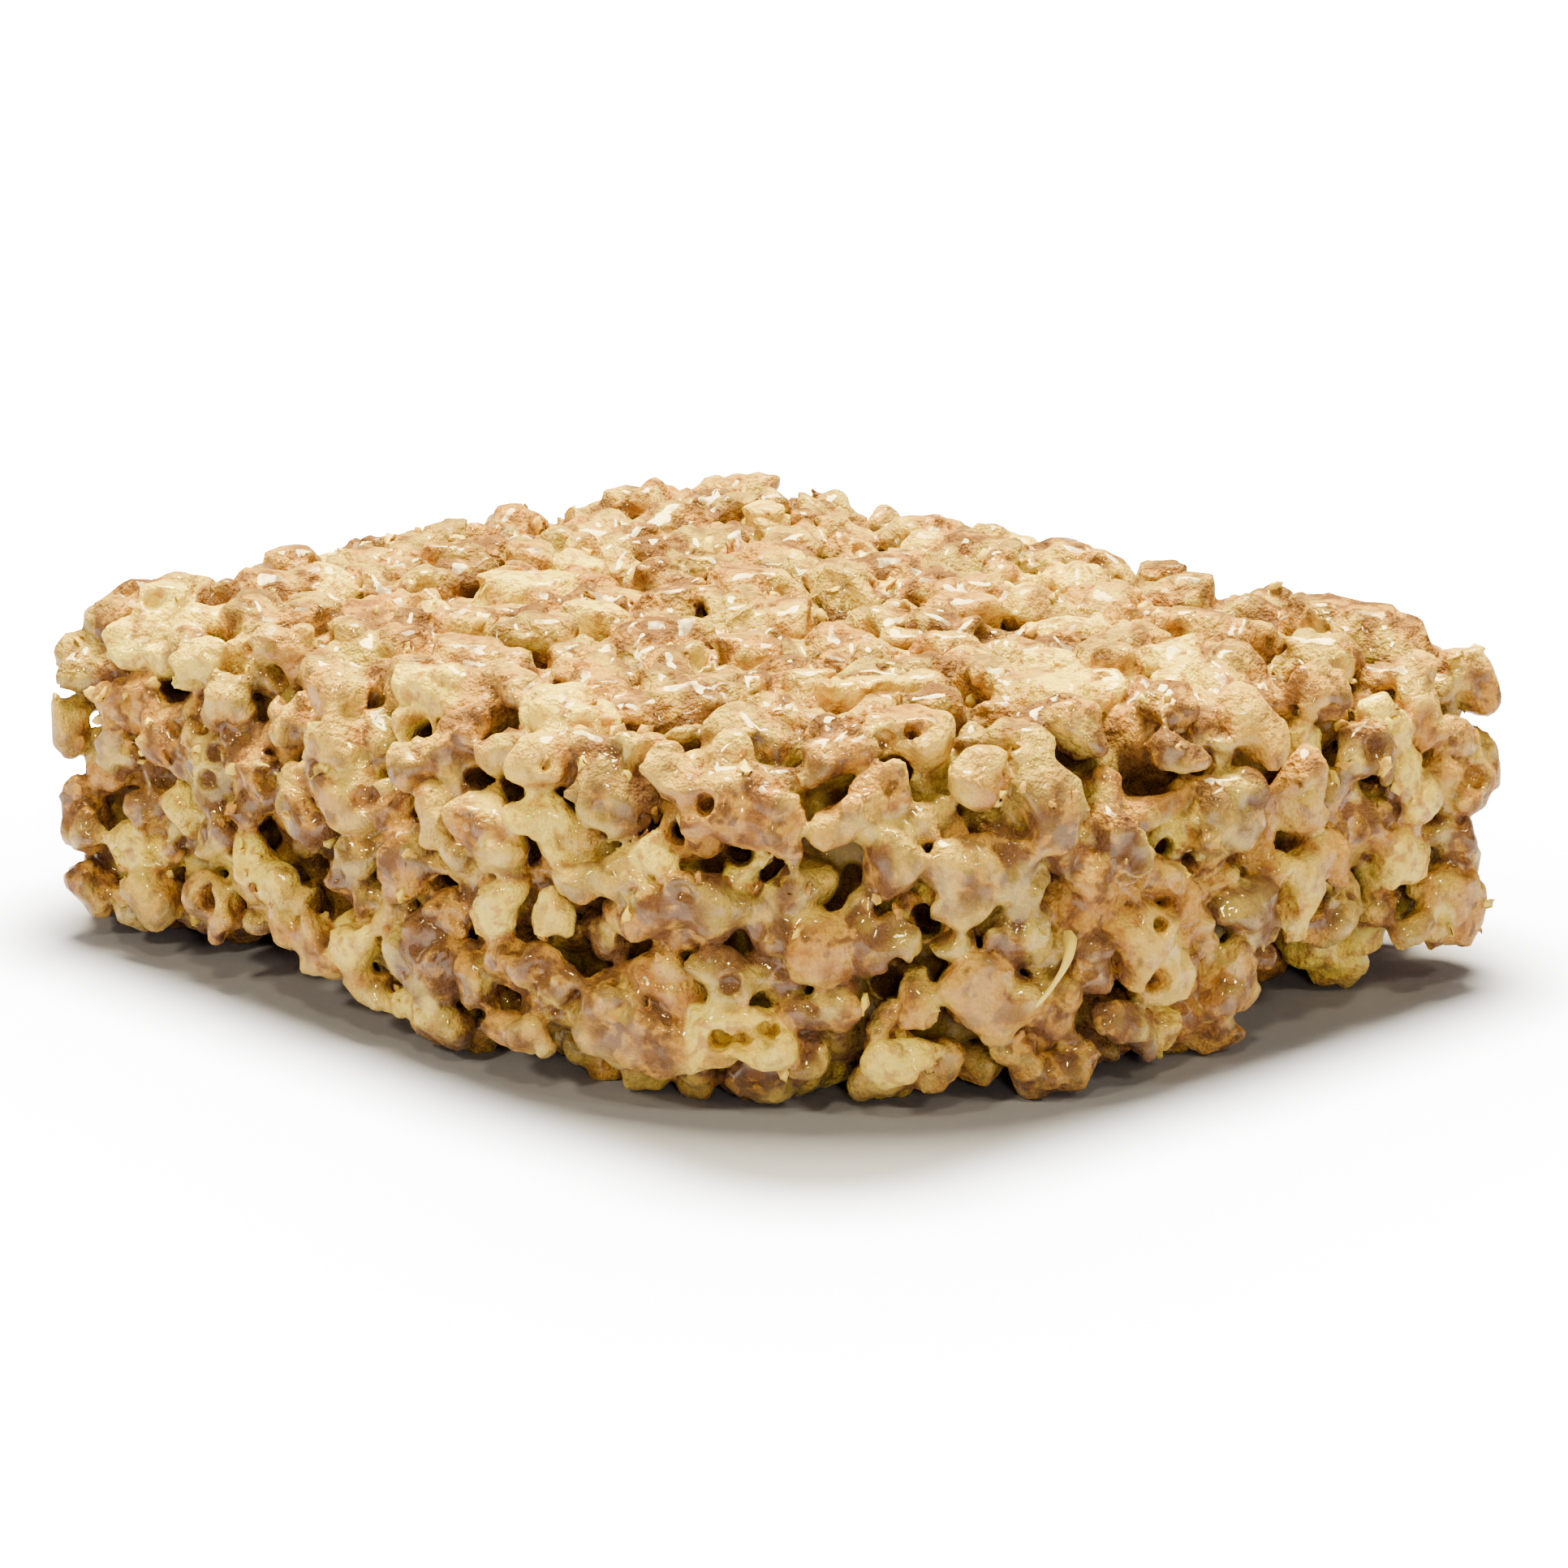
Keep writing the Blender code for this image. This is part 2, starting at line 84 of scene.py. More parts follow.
# Puffs that lie in known places, in millimetres: centre, direction of the long axis, length, width
# and tone, from 0 for plain to 1 for dark cocoa. The solid carries the first set.
PLACED_PUFFS = (
    ((36.9, -3.2, 8.3), (0.01, 0.49, -0.87), 7.3, 4.0, 0.16),
    ((18.4, -28.6, 5.3), (0.68, 0.28, -0.68), 6.5, 4.4, 0.66),
    ((24.8, -24.8, 18.6), (0.8, 0.55, -0.22), 8.2, 3.5, 0.46),
    ((36.4, 3.7, 15.4), (0.01, 0.88, -0.48), 5.9, 4.1, 0.82),
    ((2.9, -30.8, 6.3), (0.89, 0, -0.45), 6.2, 3.9, 0.78),
    ((25, -25.5, 5.5), (0.76, 0.63, -0.18), 7.3, 3.2, 0.00),
    ((34, -14.1, 6.9), (0.25, 0.52, -0.82), 5.9, 3.7, 0.44),
    ((16.8, -28.6, 18.5), (0.88, 0.2, -0.44), 6.2, 3.3, 0.82),
    ((34.7, -9.1, 2), (0.26, 0.96, 0.09), 5.8, 3.4, 0.58),
    ((35, -10.6, 19.2), (0.43, 0.42, -0.8), 5.4, 3.6, 0.74),
    ((29.1, -15, 22.6), (0.92, 0.33, -0.2), 5.0, 3.8, 0.42),
    ((3.1, -30.2, 19.8), (0.6, 0.52, 0.61), 7.3, 2.5, 0.50),
    ((37.1, 24.2, 4), (-0.08, 0.97, -0.22), 8.9, 2.0, 0.50),
    ((8.7, -30.8, 15.3), (0.75, 0.05, -0.66), 5.8, 3.0, 0.40),
    ((36.5, 22.7, 19.6), (0.38, -0.01, -0.92), 6.2, 2.8, 0.40),
    ((36, 6.7, 20.5), (0.5, 0.45, -0.74), 5.0, 3.5, 0.26),
    ((28.2, -22.5, 10.8), (0.24, 0.35, -0.9), 4.9, 3.5, 0.36),
    ((37, 19.3, 17.8), (0.1, 0.56, -0.83), 7.3, 2.3, 0.05),
    ((-13.3, -31.1, 8.9), (0.97, -0.05, -0.23), 6.9, 2.5, 0.05),
    ((29.5, -20.4, 19), (0.31, 0.77, 0.56), 7.1, 2.4, 0.48),
    ((36.9, 5.9, 8.7), (0, 0.78, -0.63), 5.8, 2.9, 0.90),
    ((-18.9, -31.1, 5.4), (0.97, 0, -0.26), 5.5, 3.0, 0.45),
    ((33.2, -16, 15), (0.08, 0.33, -0.94), 5.5, 3.0, 0.60),
    ((9.2, -31, 15.3), (0.67, 0.06, -0.74), 5.8, 2.8, 0.62),
    ((37.4, 10.4, 16.1), (-0.03, 0.13, -0.99), 6.0, 2.7, 0.30),
    ((36.7, -4.3, 3.9), (-0.06, 0.81, -0.58), 7.1, 2.2, 0.80),
    ((30.5, -19.5, 11.8), (0.31, 0.46, -0.83), 4.4, 3.5, 0.84),
    ((23.1, -26.3, 13.4), (0.7, 0.47, -0.53), 4.6, 3.3, 0.72),
    ((34.4, -12.2, 11.3), (0.47, 0.68, -0.56), 4.6, 3.4, 0.95),
    ((4.3, -26, 23.3), (0.98, -0.2, -0.02), 6.6, 2.3, 0.55),
    ((-33, -30.9, 8.2), (0.55, -0.21, -0.81), 5.1, 3.0, 0.60),
    ((10.8, -30.8, 3.5), (0.98, 0.17, -0.13), 5.9, 2.5, 0.50),
    ((37.1, 20.3, 9.5), (-0.01, 0.84, -0.54), 4.7, 3.1, 0.12),
    ((34.3, -12.3, 14.7), (0.36, 0.82, -0.44), 4.6, 3.2, 0.92),
    ((17.7, -29.3, 13.9), (0.94, 0.35, -0.02), 6.4, 2.2, 0.55),
    ((35.7, 29.1, 19.7), (0.36, 0.4, -0.85), 5.3, 2.6, 0.48),
    ((36.9, 16.1, 17.3), (0, 0.83, -0.56), 4.9, 2.8, 0.80),
    ((-13.6, -30.8, 13.3), (0.85, 0, 0.53), 7.4, 1.8, 0.80),
    ((-26.1, -31.1, 4.3), (0.92, 0.05, -0.39), 4.7, 2.9, 0.50),
    ((35.5, 13.4, 21.5), (0.23, 0.95, -0.22), 4.8, 2.8, 0.55),
    ((-0.6, -28.3, 22.2), (0.96, 0.27, -0.03), 6.1, 2.2, 0.10),
    ((36.6, -5, 15.8), (0.1, 0.63, -0.77), 4.7, 2.8, 0.98),
    ((37.2, 25.2, 6.5), (0, 0.94, -0.35), 5.0, 2.6, 0.30),
    ((-15.6, -28.5, 22.5), (1, 0.04, 0.02), 6.0, 2.2, 0.30),
    ((31, -19.3, 16.4), (0.08, 0.1, -0.99), 4.6, 2.8, 0.70),
    ((-7.8, -31.2, 5.2), (0.67, 0.01, -0.74), 4.8, 2.6, 0.35),
    ((37.3, 0.8, 9.7), (0, 0.5, -0.86), 5.7, 2.2, 0.44),
    ((37.6, 9.7, 9.4), (0, 0.14, -0.99), 6.1, 2.0, 0.14),
    ((0.3, -31.2, 11.8), (0.32, -0.01, -0.95), 4.7, 2.6, 0.50),
    ((28, -22.2, 7.2), (0.7, 0.68, 0.21), 5.1, 2.3, 0.66),
    ((-35.2, -30.5, 14.2), (0.03, 0.02, -1), 4.4, 2.7, 0.45),
    ((-26.6, -30.6, 10.3), (1, -0.01, -0.08), 4.4, 2.6, 0.55),
    ((-7.6, -29.6, 21.4), (0.88, -0.32, -0.35), 4.4, 2.6, 0.30),
    ((27.5, -19.8, 21.7), (0.31, 0.9, 0.31), 5.8, 1.9, 0.55),
    ((9.5, -31, 10.7), (0.75, 0.07, 0.65), 4.9, 2.2, 0.04),
    ((20.8, -11.5, 23.5), (0.56, 0.83, 0), 6.2, 1.8, 0.18),
    ((-21.1, -30.4, 20.5), (0.93, 0.19, 0.33), 4.7, 2.3, 0.12),
    ((23.9, -25.9, 9.2), (0.49, 0.32, -0.81), 3.8, 2.9, 0.88),
    ((31.8, -18.6, 3.9), (0.58, 0.81, 0.08), 4.9, 2.2, 0.05),
    ((34.2, 1.2, 22.6), (0.53, 0.81, -0.27), 4.4, 2.4, 0.55),
)
SMALL_PLACED_PUFFS = (
    ((20, -28, 12.5), (-0.03, 0.38, 0.92), 3.7, 2.9, 0.68),
    ((12.2, -29.8, 20.4), (0.91, 0.07, -0.4), 4.0, 2.7, 0.15),
    ((-24.6, -30.9, 15.9), (0.61, -0.01, -0.79), 4.1, 2.5, 0.35),
    ((-3.7, -31.2, 5.9), (0.99, -0.01, 0.15), 4.0, 2.5, 0.10),
    ((33.1, -14.3, 20.5), (0.02, 0.81, 0.59), 4.1, 2.5, 0.32),
    ((-33.1, -30.8, 3.4), (0.54, 0.19, -0.82), 3.8, 2.7, 0.62),
    ((13.4, -30.5, 7.7), (0.78, 0.18, -0.61), 4.0, 2.5, 0.62),
    ((-20.1, -30.7, 15.4), (0.67, -0.01, -0.74), 4.2, 2.4, 0.75),
    ((3.6, -30.5, 2.3), (0.87, -0.29, 0.39), 5.3, 1.9, 0.66),
    ((19.5, -28.2, 15.4), (0.94, 0.33, 0.06), 5.2, 1.9, 0.06),
    ((37.2, 17.4, 3.6), (-0.08, 0.52, -0.85), 4.2, 2.4, 0.34),
    ((-14.3, -31.1, 15.3), (0.97, -0.23, -0.11), 4.1, 2.4, 0.50),
    ((-8.6, -31.2, 12.8), (0.96, -0.02, -0.29), 3.8, 2.5, 0.70),
    ((-6.4, -31.2, 18.5), (1, -0.02, -0.05), 4.2, 2.3, 0.45),
    ((-5.9, -30.8, 16), (0.95, 0.32, -0.04), 3.8, 2.5, 0.85),
    ((1.5, -30.9, 3), (0.95, -0.13, 0.28), 5.7, 1.6, 0.08),
    ((20.5, -27.1, 20.8), (0.53, 0.1, -0.84), 4.2, 2.1, 0.40),
    ((7.2, -31.2, 6.1), (0.95, -0.15, -0.28), 4.0, 2.2, 0.64),
    ((36.5, 29.5, 14.3), (0.31, 0.26, -0.91), 3.8, 2.2, 0.64),
    ((37.5, 12.5, 11.6), (-0.09, 0.96, -0.28), 4.1, 2.0, 0.30),
    ((4.2, -31.4, 15.8), (0.06, -0.01, -1), 3.9, 2.1, 0.30),
    ((36.4, -6.9, 8.2), (0.08, 0.42, -0.91), 3.8, 2.1, 0.85),
    ((37.2, 21.2, 13.3), (0.01, -0.09, -1), 3.1, 2.6, 0.08),
    ((-2.9, -31.1, 3), (0.83, -0.01, -0.56), 3.6, 2.2, 0.50),
    ((13.7, -30.2, 11), (0.94, 0.22, -0.25), 3.4, 2.3, 0.12),
    ((33.1, -6.3, 22.8), (0.91, 0.18, -0.38), 3.2, 2.4, 0.45),
    ((10.3, -30.9, 7.6), (0.99, 0.11, -0.05), 3.3, 2.2, 0.60),
    ((35.4, 5, 0.7), (0.24, 0.97, 0.02), 3.0, 2.3, 0.46),
    ((36.7, -0.3, 20.6), (0.49, 0.72, -0.49), 3.8, 1.9, 0.80),
    ((37.1, 25.4, 10.4), (0.01, 0.93, -0.35), 3.3, 2.0, 0.88),
    ((37.3, 3, 4), (-0.06, 0.82, -0.57), 2.7, 2.2, 0.55),
    ((37.4, 4.5, 6.4), (0.05, 0.94, -0.34), 2.5, 2.0, 0.66),
)

# Gaps between the puffs and holes in broken ones on the two cut sides, in millimetres:
# mouth, way in, radius and depth.
GAPS = (
    ((2.4, -32.0, 16.2), (-0.42, 0.90, -0.15), 1.5, 4.2),
    ((0.8, -31.0, 20.9), (-0.41, 0.80, -0.43), 1.5, 4),
    ((-24.0, -31.9, 18.7), (-0.44, 0.87, -0.24), 1.12, 4),
    ((-22.5, -31.8, 18.9), (-0.44, 0.86, -0.25), 1, 4),
    ((-11.5, -30.9, 21.0), (-0.43, 0.79, -0.44), 1, 4),
    ((3.6, -32.0, 14.3), (-0.41, 0.90, -0.15), 0.88, 4),
    ((-24.5, -32.0, 9.7), (-0.44, 0.89, -0.15), 0.75, 3),
    ((21.9, -28.2, 17.7), (-0.61, 0.78, -0.16), 0.88, 4.2),
    ((25.0, -26.2, 16.5), (-0.65, 0.75, -0.14), 1, 4.2),
    ((33.0, -17.8, 12.4), (-0.77, 0.62, -0.15), 1.38, 4.2),
    ((30.2, -21.5, 15.2), (-0.72, 0.68, -0.14), 0.75, 3.5),
    ((29.1, -21.8, 20.4), (-0.67, 0.65, -0.35), 0.75, 3),
    ((7.6, -31.8, 18.9), (-0.41, 0.87, -0.26), 1, 4),
    ((28.9, -22.9, 9.7), (-0.70, 0.69, -0.15), 1.12, 2.6),
    ((16.7, -30.4, 12.4), (-0.54, 0.83, -0.15), 0.75, 3),
    ((35.8, -12.4, 7.8), (-0.82, 0.55, -0.16), 1, 4.2),
    ((37.3, -3.4, 20.2), (-0.83, 0.42, -0.36), 1.75, 4.2),
    ((37.6, -1.8, 19.6), (-0.86, 0.41, -0.32), 1.75, 4.2),
    ((37.5, 8.8, 20.0), (-0.85, 0.40, -0.35), 1.25, 4),
    ((37.6, 1.8, 19.6), (-0.86, 0.40, -0.32), 0.88, 4),
    ((38.0, -1.5, 14.6), (-0.90, 0.41, -0.15), 0.88, 4),
    ((37.4, -6.8, 17.0), (-0.87, 0.48, -0.14), 1, 2.4),
    ((38.0, 17.6, 15.6), (-0.90, 0.42, -0.14), 0.88, 4),
    ((38.0, 12.1, 9.0), (-0.90, 0.41, -0.16), 1.25, 2.4),
    ((37.0, 23.3, 20.9), (-0.80, 0.42, -0.42), 0.88, 4),
    ((6.3, -32.0, 15.7), (-0.41, 0.90, -0.15), 1, 2.2),
    ((31.8, -19.5, 10.1), (-0.75, 0.65, -0.15), 0.45, 1.8),
    ((31.3, -20.3, 13.4), (-0.74, 0.66, -0.15), 0.55, 1.8),
    ((23.3, -26.9, 19.5), (-0.61, 0.74, -0.29), 0.65, 0.9),
    ((29.8, -16.3, 23.2), (-0.58, 0.52, -0.63), 0.4, 1.2),
    ((24.4, -26.6, 5.4), (-0.64, 0.75, -0.16), 0.8, 1),
    ((26.6, -25.0, 5.9), (-0.67, 0.73, -0.16), 0.9, 1.1),
    ((25.4, -25.9, 5.3), (-0.65, 0.74, -0.16), 0.7, 1),
    ((37.9, -3.5, 6.9), (-0.89, 0.43, -0.16), 0.7, 0.9),
    ((37.9, -3.1, 10.4), (-0.89, 0.43, -0.16), 0.5, 0.9),
    ((12.9, -31.4, 15.0), (-0.49, 0.86, -0.15), 0.4, 1),
    ((-10.4, -32.0, 10.0), (-0.43, 0.89, -0.15), 0.9, 1.6),
    ((-18.7, -32.0, 5.8), (-0.43, 0.89, -0.16), 0.9, 1.4),
)

# The long marshmallow string on the pan corner, from end to end, in millimetres.
LONG_STRING = ((36.3, -8.7, 10.6), (34.6, -12.6, 6.0))

# The quarters of the bar that are meshed apart: whether each is the high end in x and in y, the
# most faces of its marshmallow, and the share of each kind of puff's faces that it may have.
QUARTERS = {
    "near": (True, False, 197000, 1.0),
    "left": (False, False, 150000, 0.8),
    "right": (True, True, 150000, 0.8),
    "far": (False, True, 90000, 0.5),
}

# The kinds of puff: lowest and highest tone, most faces in a quarter, bump depth in millimetres,
# gloss and colour slot.
PUFF_KINDS = (
    ("plain", -1.0, 0.24, 40000, 0.9, 0.5, "plain_puffs"),
    ("toasted", 0.22, 0.58, 130000, 1.0, 0.6, "cocoa_puffs"),
    ("cocoa", 0.56, 2.0, 130000, 1.1, 0.75, "cocoa_puffs"),
)

# How the solid's other large puffs are laid. These follow its layout draw for draw.
LARGE_PUFFS = 182
LARGE_SPACING = 6.3 * MM
LARGE_CANDIDATES = 14000
SKIN_REACH = 2 * MM
MOST_TILT = math.radians(24)
SUNK_SHARE = 0.45
SUNK_BY_TILT = 0.34
UNDERSIDE_NORMAL = -0.55
LAYOUT_SEED = 11

# Random waves of the field, as their period and their height in millimetres.
WARP_WAVES = (2.8, 0.42)
COARSE_WAVES = (0.9, 0.38)
FINE_WAVES = (0.5, 0.24)
CORE_WAVES = (2.4, 0.7)
PRESSED_WAVES = (1.4, 0.22)
RIDGE_WAVES = (1.5, 0.55)
RIDGE_LEVEL = 0.26

# How the marshmallow lies on the puffs and closes the bar behind them.
GRID_MARGIN = 1.3 * MM
FARTHEST = 3.5 * MM
FILLET_PERIOD = 5 * MM
GLAZE_DRAWN_IN = 0.36 * MM
BARE_ABOVE_CORE = 0.8 * MM
EDGE_BAND = 9 * MM
EDGE_FADE = 7 * MM
EDGE_SOLID = 2.0 * MM
PRESSED_TOP = 0.22 * MM
HIGHEST_LUMP = 0.8 * MM
FLOOR_GAP = 0.02 * MM
PACK_REACH = 1.5 * MM
PUFF_JOIN = 0.4 * MM
CORE_JOIN = 0.6 * MM
BLISTER_JOIN = 0.6 * MM
HOLE_JOIN = 0.35 * MM
PIT_JOIN = 0.16 * MM
TONE_BLEND = 0.22 * MM

# Gaps deeper than this, in millimetres, run between puffs. The others are hollows in one puff.
HOLLOW_DEPTH = 2
GAP_RAGGED = 0.5
GAP_NARROWS = 0.4

# Burst bubbles: the share of puffs that has one, and of puffs with a wide one, the radii in
# millimetres, and the depths as shares of the radius.
BURST_SHARE = 0.62
WIDE_SHARE = 0.2
WIDE_BURSTS = (0.55, 0.95)
SMALL_BURSTS = (0.3, 0.5)
BURST_DEPTHS = (0.6, 1.6)

# The tones of the puffs that aren't placed, and how often each one comes.
PUFF_TONES = (0.0, 0.42, 0.62, 0.9)
TONE_CHANCES = (0.13, 0.33, 0.35, 0.19)

# How the field is meshed: how far beside the surface it is kept, in steps, and how flat parts thin.
BAND_STEPS = 8
MESH_ADAPTIVITY = 0.05

# How puffs show through the marshmallow.
BARE_FILM = 0.12 * MM
CAP_DEPTH = 0.9 * MM
TONE_SLOPE = 1.2
THIN_FILM = 0.10 * MM
THIN_FILM_DROP = 0.05 * MM

# Shades of the rice and the marshmallow beside those that a user sets.
TOASTED_LIGHT = (0.60, 0.325, 0.080, 1)
TOASTED_DARK = (0.36, 0.138, 0.042, 1)
PLAIN_LIGHT = (0.90, 0.71, 0.15, 1)
PLAIN_BROWNED = (0.50, 0.25, 0.055, 1)
COCOA_THIN = (0.150, 0.072, 0.040, 1)
FILM_LIGHT = (0.87, 0.69, 0.140, 1)
FILM_SPECK = (0.95, 0.80, 0.22, 1)
# Painted highlight: the paler cream laid on open crests.
CREST_HIGHLIGHT = (0.88, 0.66, 0.15, 1)
# Painted shade: the dark brown laid in recesses and packed crevices.
DEEP_SHADE = (0.085, 0.038, 0.013, 1)

# The strings' lengths, the distance between them, and their radii in the middle, in millimetres
# for the short ones, and what is added to the radius where they leave the bar.
STRING_SPANS = (1.8 * MM, 3.8 * MM)
STRING_APART = 6 * MM
STRING_POINTS = 15
STRING_SIDES = 7
LONG_STRING_MIDDLE = 0.13 * MM
LONG_STRING_FLARE = 0.5 * MM
STRING_MIDDLES = (0.04, 0.09)
STRING_FLARE = 0.22 * MM

# The floor's two tints for light that it throws back, then as the camera sees it, and the painted shadow at
# the foot, with where it fades and how strong it is, then the painted glow that whitens the floor to the
# camera farther out.
FLOOR_BOUNCE = ((0.40, 0.40, 0.71, 1), (0.43, 0.43, 0.75, 1))
FLOOR_SEEN = ((1.75, 1.99, 4.55, 1), (1.80, 2.05, 4.68, 1))
PAINTED_FOOT_SHADOW = (0.15, 0.135, 0.155, 1)
FOOT_HALF = (0.029, 0.023, 0.0)
FOOT_FADE = (0.008, 0.021)
FOOT_SHADE = 0.93
GLOW_FADE = (0.010, 0.10)
GLOW = 12.0
LAMP_COLOUR = (1.0, 0.88, 0.38)
SKY_COLOUR = (1.0, 0.90, 0.80, 1)
SKY_STRENGTH = 0.10
BAR_MIDDLE = Vector((0, 0, 0.012))
CAMERA_SHIFT = (0.0124, -0.0078)

# The lamps: place, size and power.
LAMPS = (
    ("overhead softbox", (-0.10, 0.10, 0.60), 0.36, 29.6),
    ("left softbox", (-0.30, -0.60, 0.30), 0.25, 0.8),
    ("right softbox", (0.66, 0.15, 0.30), 0.25, 0.3),
    ("left lamp", (0.02, -0.50, 0.40), 0.07, 2.0),
    ("right lamp", (0.50, -0.02, 0.40), 0.05, 1.0),
    ("front lamp", (0.34, -0.34, 0.62), 0.07, 2.0),
    ("low lamp", (0.50, -0.36, 0.20), 0.05, 0.8),
)


def size_property(name, description, default):
    return FloatProperty(
        name=name, description=description, default=default, subtype="DISTANCE", unit="LENGTH"
    )


def angle_property(name, description, default):
    return FloatProperty(
        name=name, description=description, default=default, subtype="ANGLE", unit="ROTATION"
    )


def colour_property(name, description, default):
    return FloatVectorProperty(name=name, description=description, default=default, size=4, subtype="COLOR")


class BarSizes(bpy.types.PropertyGroup):
    length: size_property("Length", "Along the longer side", 76 * MM)
    width: size_property("Width", "Across the bar", 64 * MM)
    height: size_property("Height", "Thickness of the pressed bar", 24 * MM)
    pan_corner: size_property("Pan corner", "Radius left by the pan's corner", 31 * MM)
    cut_corner: size_property("Cut corner", "Radius of the three cut corners", 6 * MM)
    top_edge: size_property("Top edge", "Rounding of the top edge", 6.5 * MM)
    bottom_edge: size_property("Bottom edge", "Rounding of the bottom edge", 4.8 * MM)


class PuffSizes(bpy.types.PropertyGroup):
    length: size_property("Length", "Usual length of a puff", 7.2 * MM)
    width: size_property("Width", "Usual thickness of a puff", 3.5 * MM)
    squeeze: FloatProperty(
        name="Squeeze",
        description="How near two puffs' centre lines come, as a share of their width",
        default=0.86,
    )
    seed: IntProperty(name="Seed", description="Seed for the filling puffs", default=5)
    crumb: size_property("Crumb", "Usual radius of a crumb", 0.45 * MM)
    crumbs: FloatProperty(name="Crumbs", description="Crumbs on a square metre of skin", default=100000.0)
    mesh_step: size_property("Detail", "Step of the field that is meshed", 0.27 * MM)


class BinderSizes(bpy.types.PropertyGroup):
    fillet: size_property("Fillet", "Reach of the marshmallow between puffs", 1.9 * MM)
    strings: IntProperty(name="Strings", description="Most short marshmallow strings across gaps", default=26)
    solid_depth: size_property("Solid below", "Depth under which the bar is closed", 3.6 * MM)


class RiceColours(bpy.types.PropertyGroup):
    tan: colour_property("Toasted", "Toasted puff", (0.49, 0.243, 0.052, 1))
    brown: colour_property("Cocoa", "Blotches of cocoa", (0.125, 0.050, 0.028, 1))
    pale: colour_property("Plain", "Plain puff", (0.86, 0.62, 0.085, 1))
    film: colour_property("Marshmallow", "Set marshmallow", (0.68, 0.53, 0.102, 1))


class StageSizes(bpy.types.PropertyGroup):
    azimuth: angle_property("Azimuth", "Camera's turn round the bar", math.radians(46.5))
    elevation: angle_property("Elevation", "Camera's height angle", math.radians(15.03))
    distance: size_property("Distance", "Camera to the bar's centre", 0.320)
    lens: FloatProperty(name="Lens", description="Focal length in mm on a 36 mm sensor", default=111.33)


def settings():
    return bpy.context.scene


def linked(name, data):
    """A new object in the scene."""
    made = bpy.data.objects.new(name, data)
    bpy.context.scene.collection.objects.link(made)
    return made


def as_plain_mesh(piece):
    """Keeps what a piece's modifiers make as its own mesh and takes them off."""
    bpy.context.view_layer.update()
    graph = bpy.context.evaluated_depsgraph_get()
    mesh = bpy.data.meshes.new_from_object(piece.evaluated_get(graph))
    piece.modifiers.clear()
    piece.data = mesh


# The outer form.
def plan_distance(x, y):
    """Distance to the bar's outline seen from above, negative inside."""
    bar = settings().bar_sizes
    radius = np.where((x > 0) & (y < 0), bar.pan_corner, bar.cut_corner)
    along = np.abs(x) - bar.length / 2 + radius
    across = np.abs(y) - bar.width / 2 + radius
    rounded = np.hypot(np.maximum(along, 0), np.maximum(across, 0))
    return rounded + np.minimum(np.maximum(along, across), 0) - radius


def bar_distance(x, y, z):
    """Distance to the bar's outer form, negative inside. Takes arrays that broadcast together."""
    bar = settings().bar_sizes
    edge = np.where(z > bar.height / 2, bar.top_edge, bar.bottom_edge)
    beside = plan_distance(x, y) + edge
    above = np.abs(z - bar.height / 2) - bar.height / 2 + edge
    rounded = np.hypot(np.maximum(beside, 0), np.maximum(above, 0))
    distance = rounded + np.minimum(np.maximum(beside, above), 0) - edge
    for (cx, cy, cz), (hx, hy, hz) in HOLLOWS:
        reach = np.sqrt(((x - cx) / hx) ** 2 + ((y - cy) / hy) ** 2 + ((z - cz) / hz) ** 2)
        distance = np.maximum(distance, (1 - reach) * min(hx, hy, hz))
    return distance


def distance_at(points):
    return bar_distance(points[:, 0], points[:, 1], points[:, 2])


def outward(points):
    """The direction straight out of the bar at each point."""
    step = 0.05 * MM
    slope = np.empty_like(points)
    for axis in range(3):
        shift = np.zeros(3)
        shift[axis] = step
        slope[:, axis] = distance_at(points + shift) - distance_at(points - shift)
    return slope / np.maximum(np.linalg.norm(slope, axis=1, keepdims=True), 1e-12)


# The puffs. Each is a dict of its centre, axes, size, tone and form.
def placed(rows):
    """The puffs of a table of known places."""
    laid = []
    for centre, axis, length, width, tone in rows:
        centre = np.array(centre) * MM
        puff = puff_at(centre, np.array(axis), outward(centre[None])[0], length * MM, width * MM)
        puff["tone"] = tone
        puff["kept"] = True
        laid.append(puff)
    return laid


def large_puffs():
    """The puffs that the solid carries, in the same places."""
    bar = settings().bar_sizes
    puff = settings().puff_sizes
    rng = np.random.default_rng(LAYOUT_SEED)
    half = np.array([bar.length / 2, bar.width / 2, bar.height / 2]) + SKIN_REACH
    points = rng.uniform(-half, half, (LARGE_CANDIDATES, 3)) + (0, 0, bar.height / 2)
    points = points[np.abs(distance_at(points)) < SKIN_REACH]
    points -= outward(points) * distance_at(points)[:, None]
    ways_out = outward(points)
    lengths = rng.normal(puff.length, 0.9 * MM, LARGE_PUFFS).clip(5.4 * MM, 9.2 * MM)
    lengths = np.sort(lengths)[::-1]
    laid = placed(PLACED_PUFFS)
    spots = np.array([row[0] for row in PLACED_PUFFS]) * MM
    for point, way_out in zip(points, ways_out):
        if len(laid) == LARGE_PUFFS:
            break
        if way_out[2] < UNDERSIDE_NORMAL:
            continue
        if np.linalg.norm(spots - point, axis=1).min() < LARGE_SPACING:
            continue
        spots = np.vstack([spots, point])
        width = rng.normal(puff.width, 0.35 * MM)
        turn = rng.uniform(0, math.tau)
        tilt = rng.uniform(-MOST_TILT, MOST_TILT)
        sideways = Vector(way_out).orthogonal().normalized()
        sideways.rotate(Matrix.Rotation(turn, 3, Vector(way_out)))
        axis = sideways * math.cos(tilt) + Vector(way_out) * math.sin(tilt)
        length = lengths[len(laid) - len(PLACED_PUFFS)]
        sunk = SUNK_SHARE * width + SUNK_BY_TILT * abs(math.sin(tilt)) * length
        laid.append(puff_at(point - way_out * sunk, np.array(axis), way_out, length, width))
    return laid


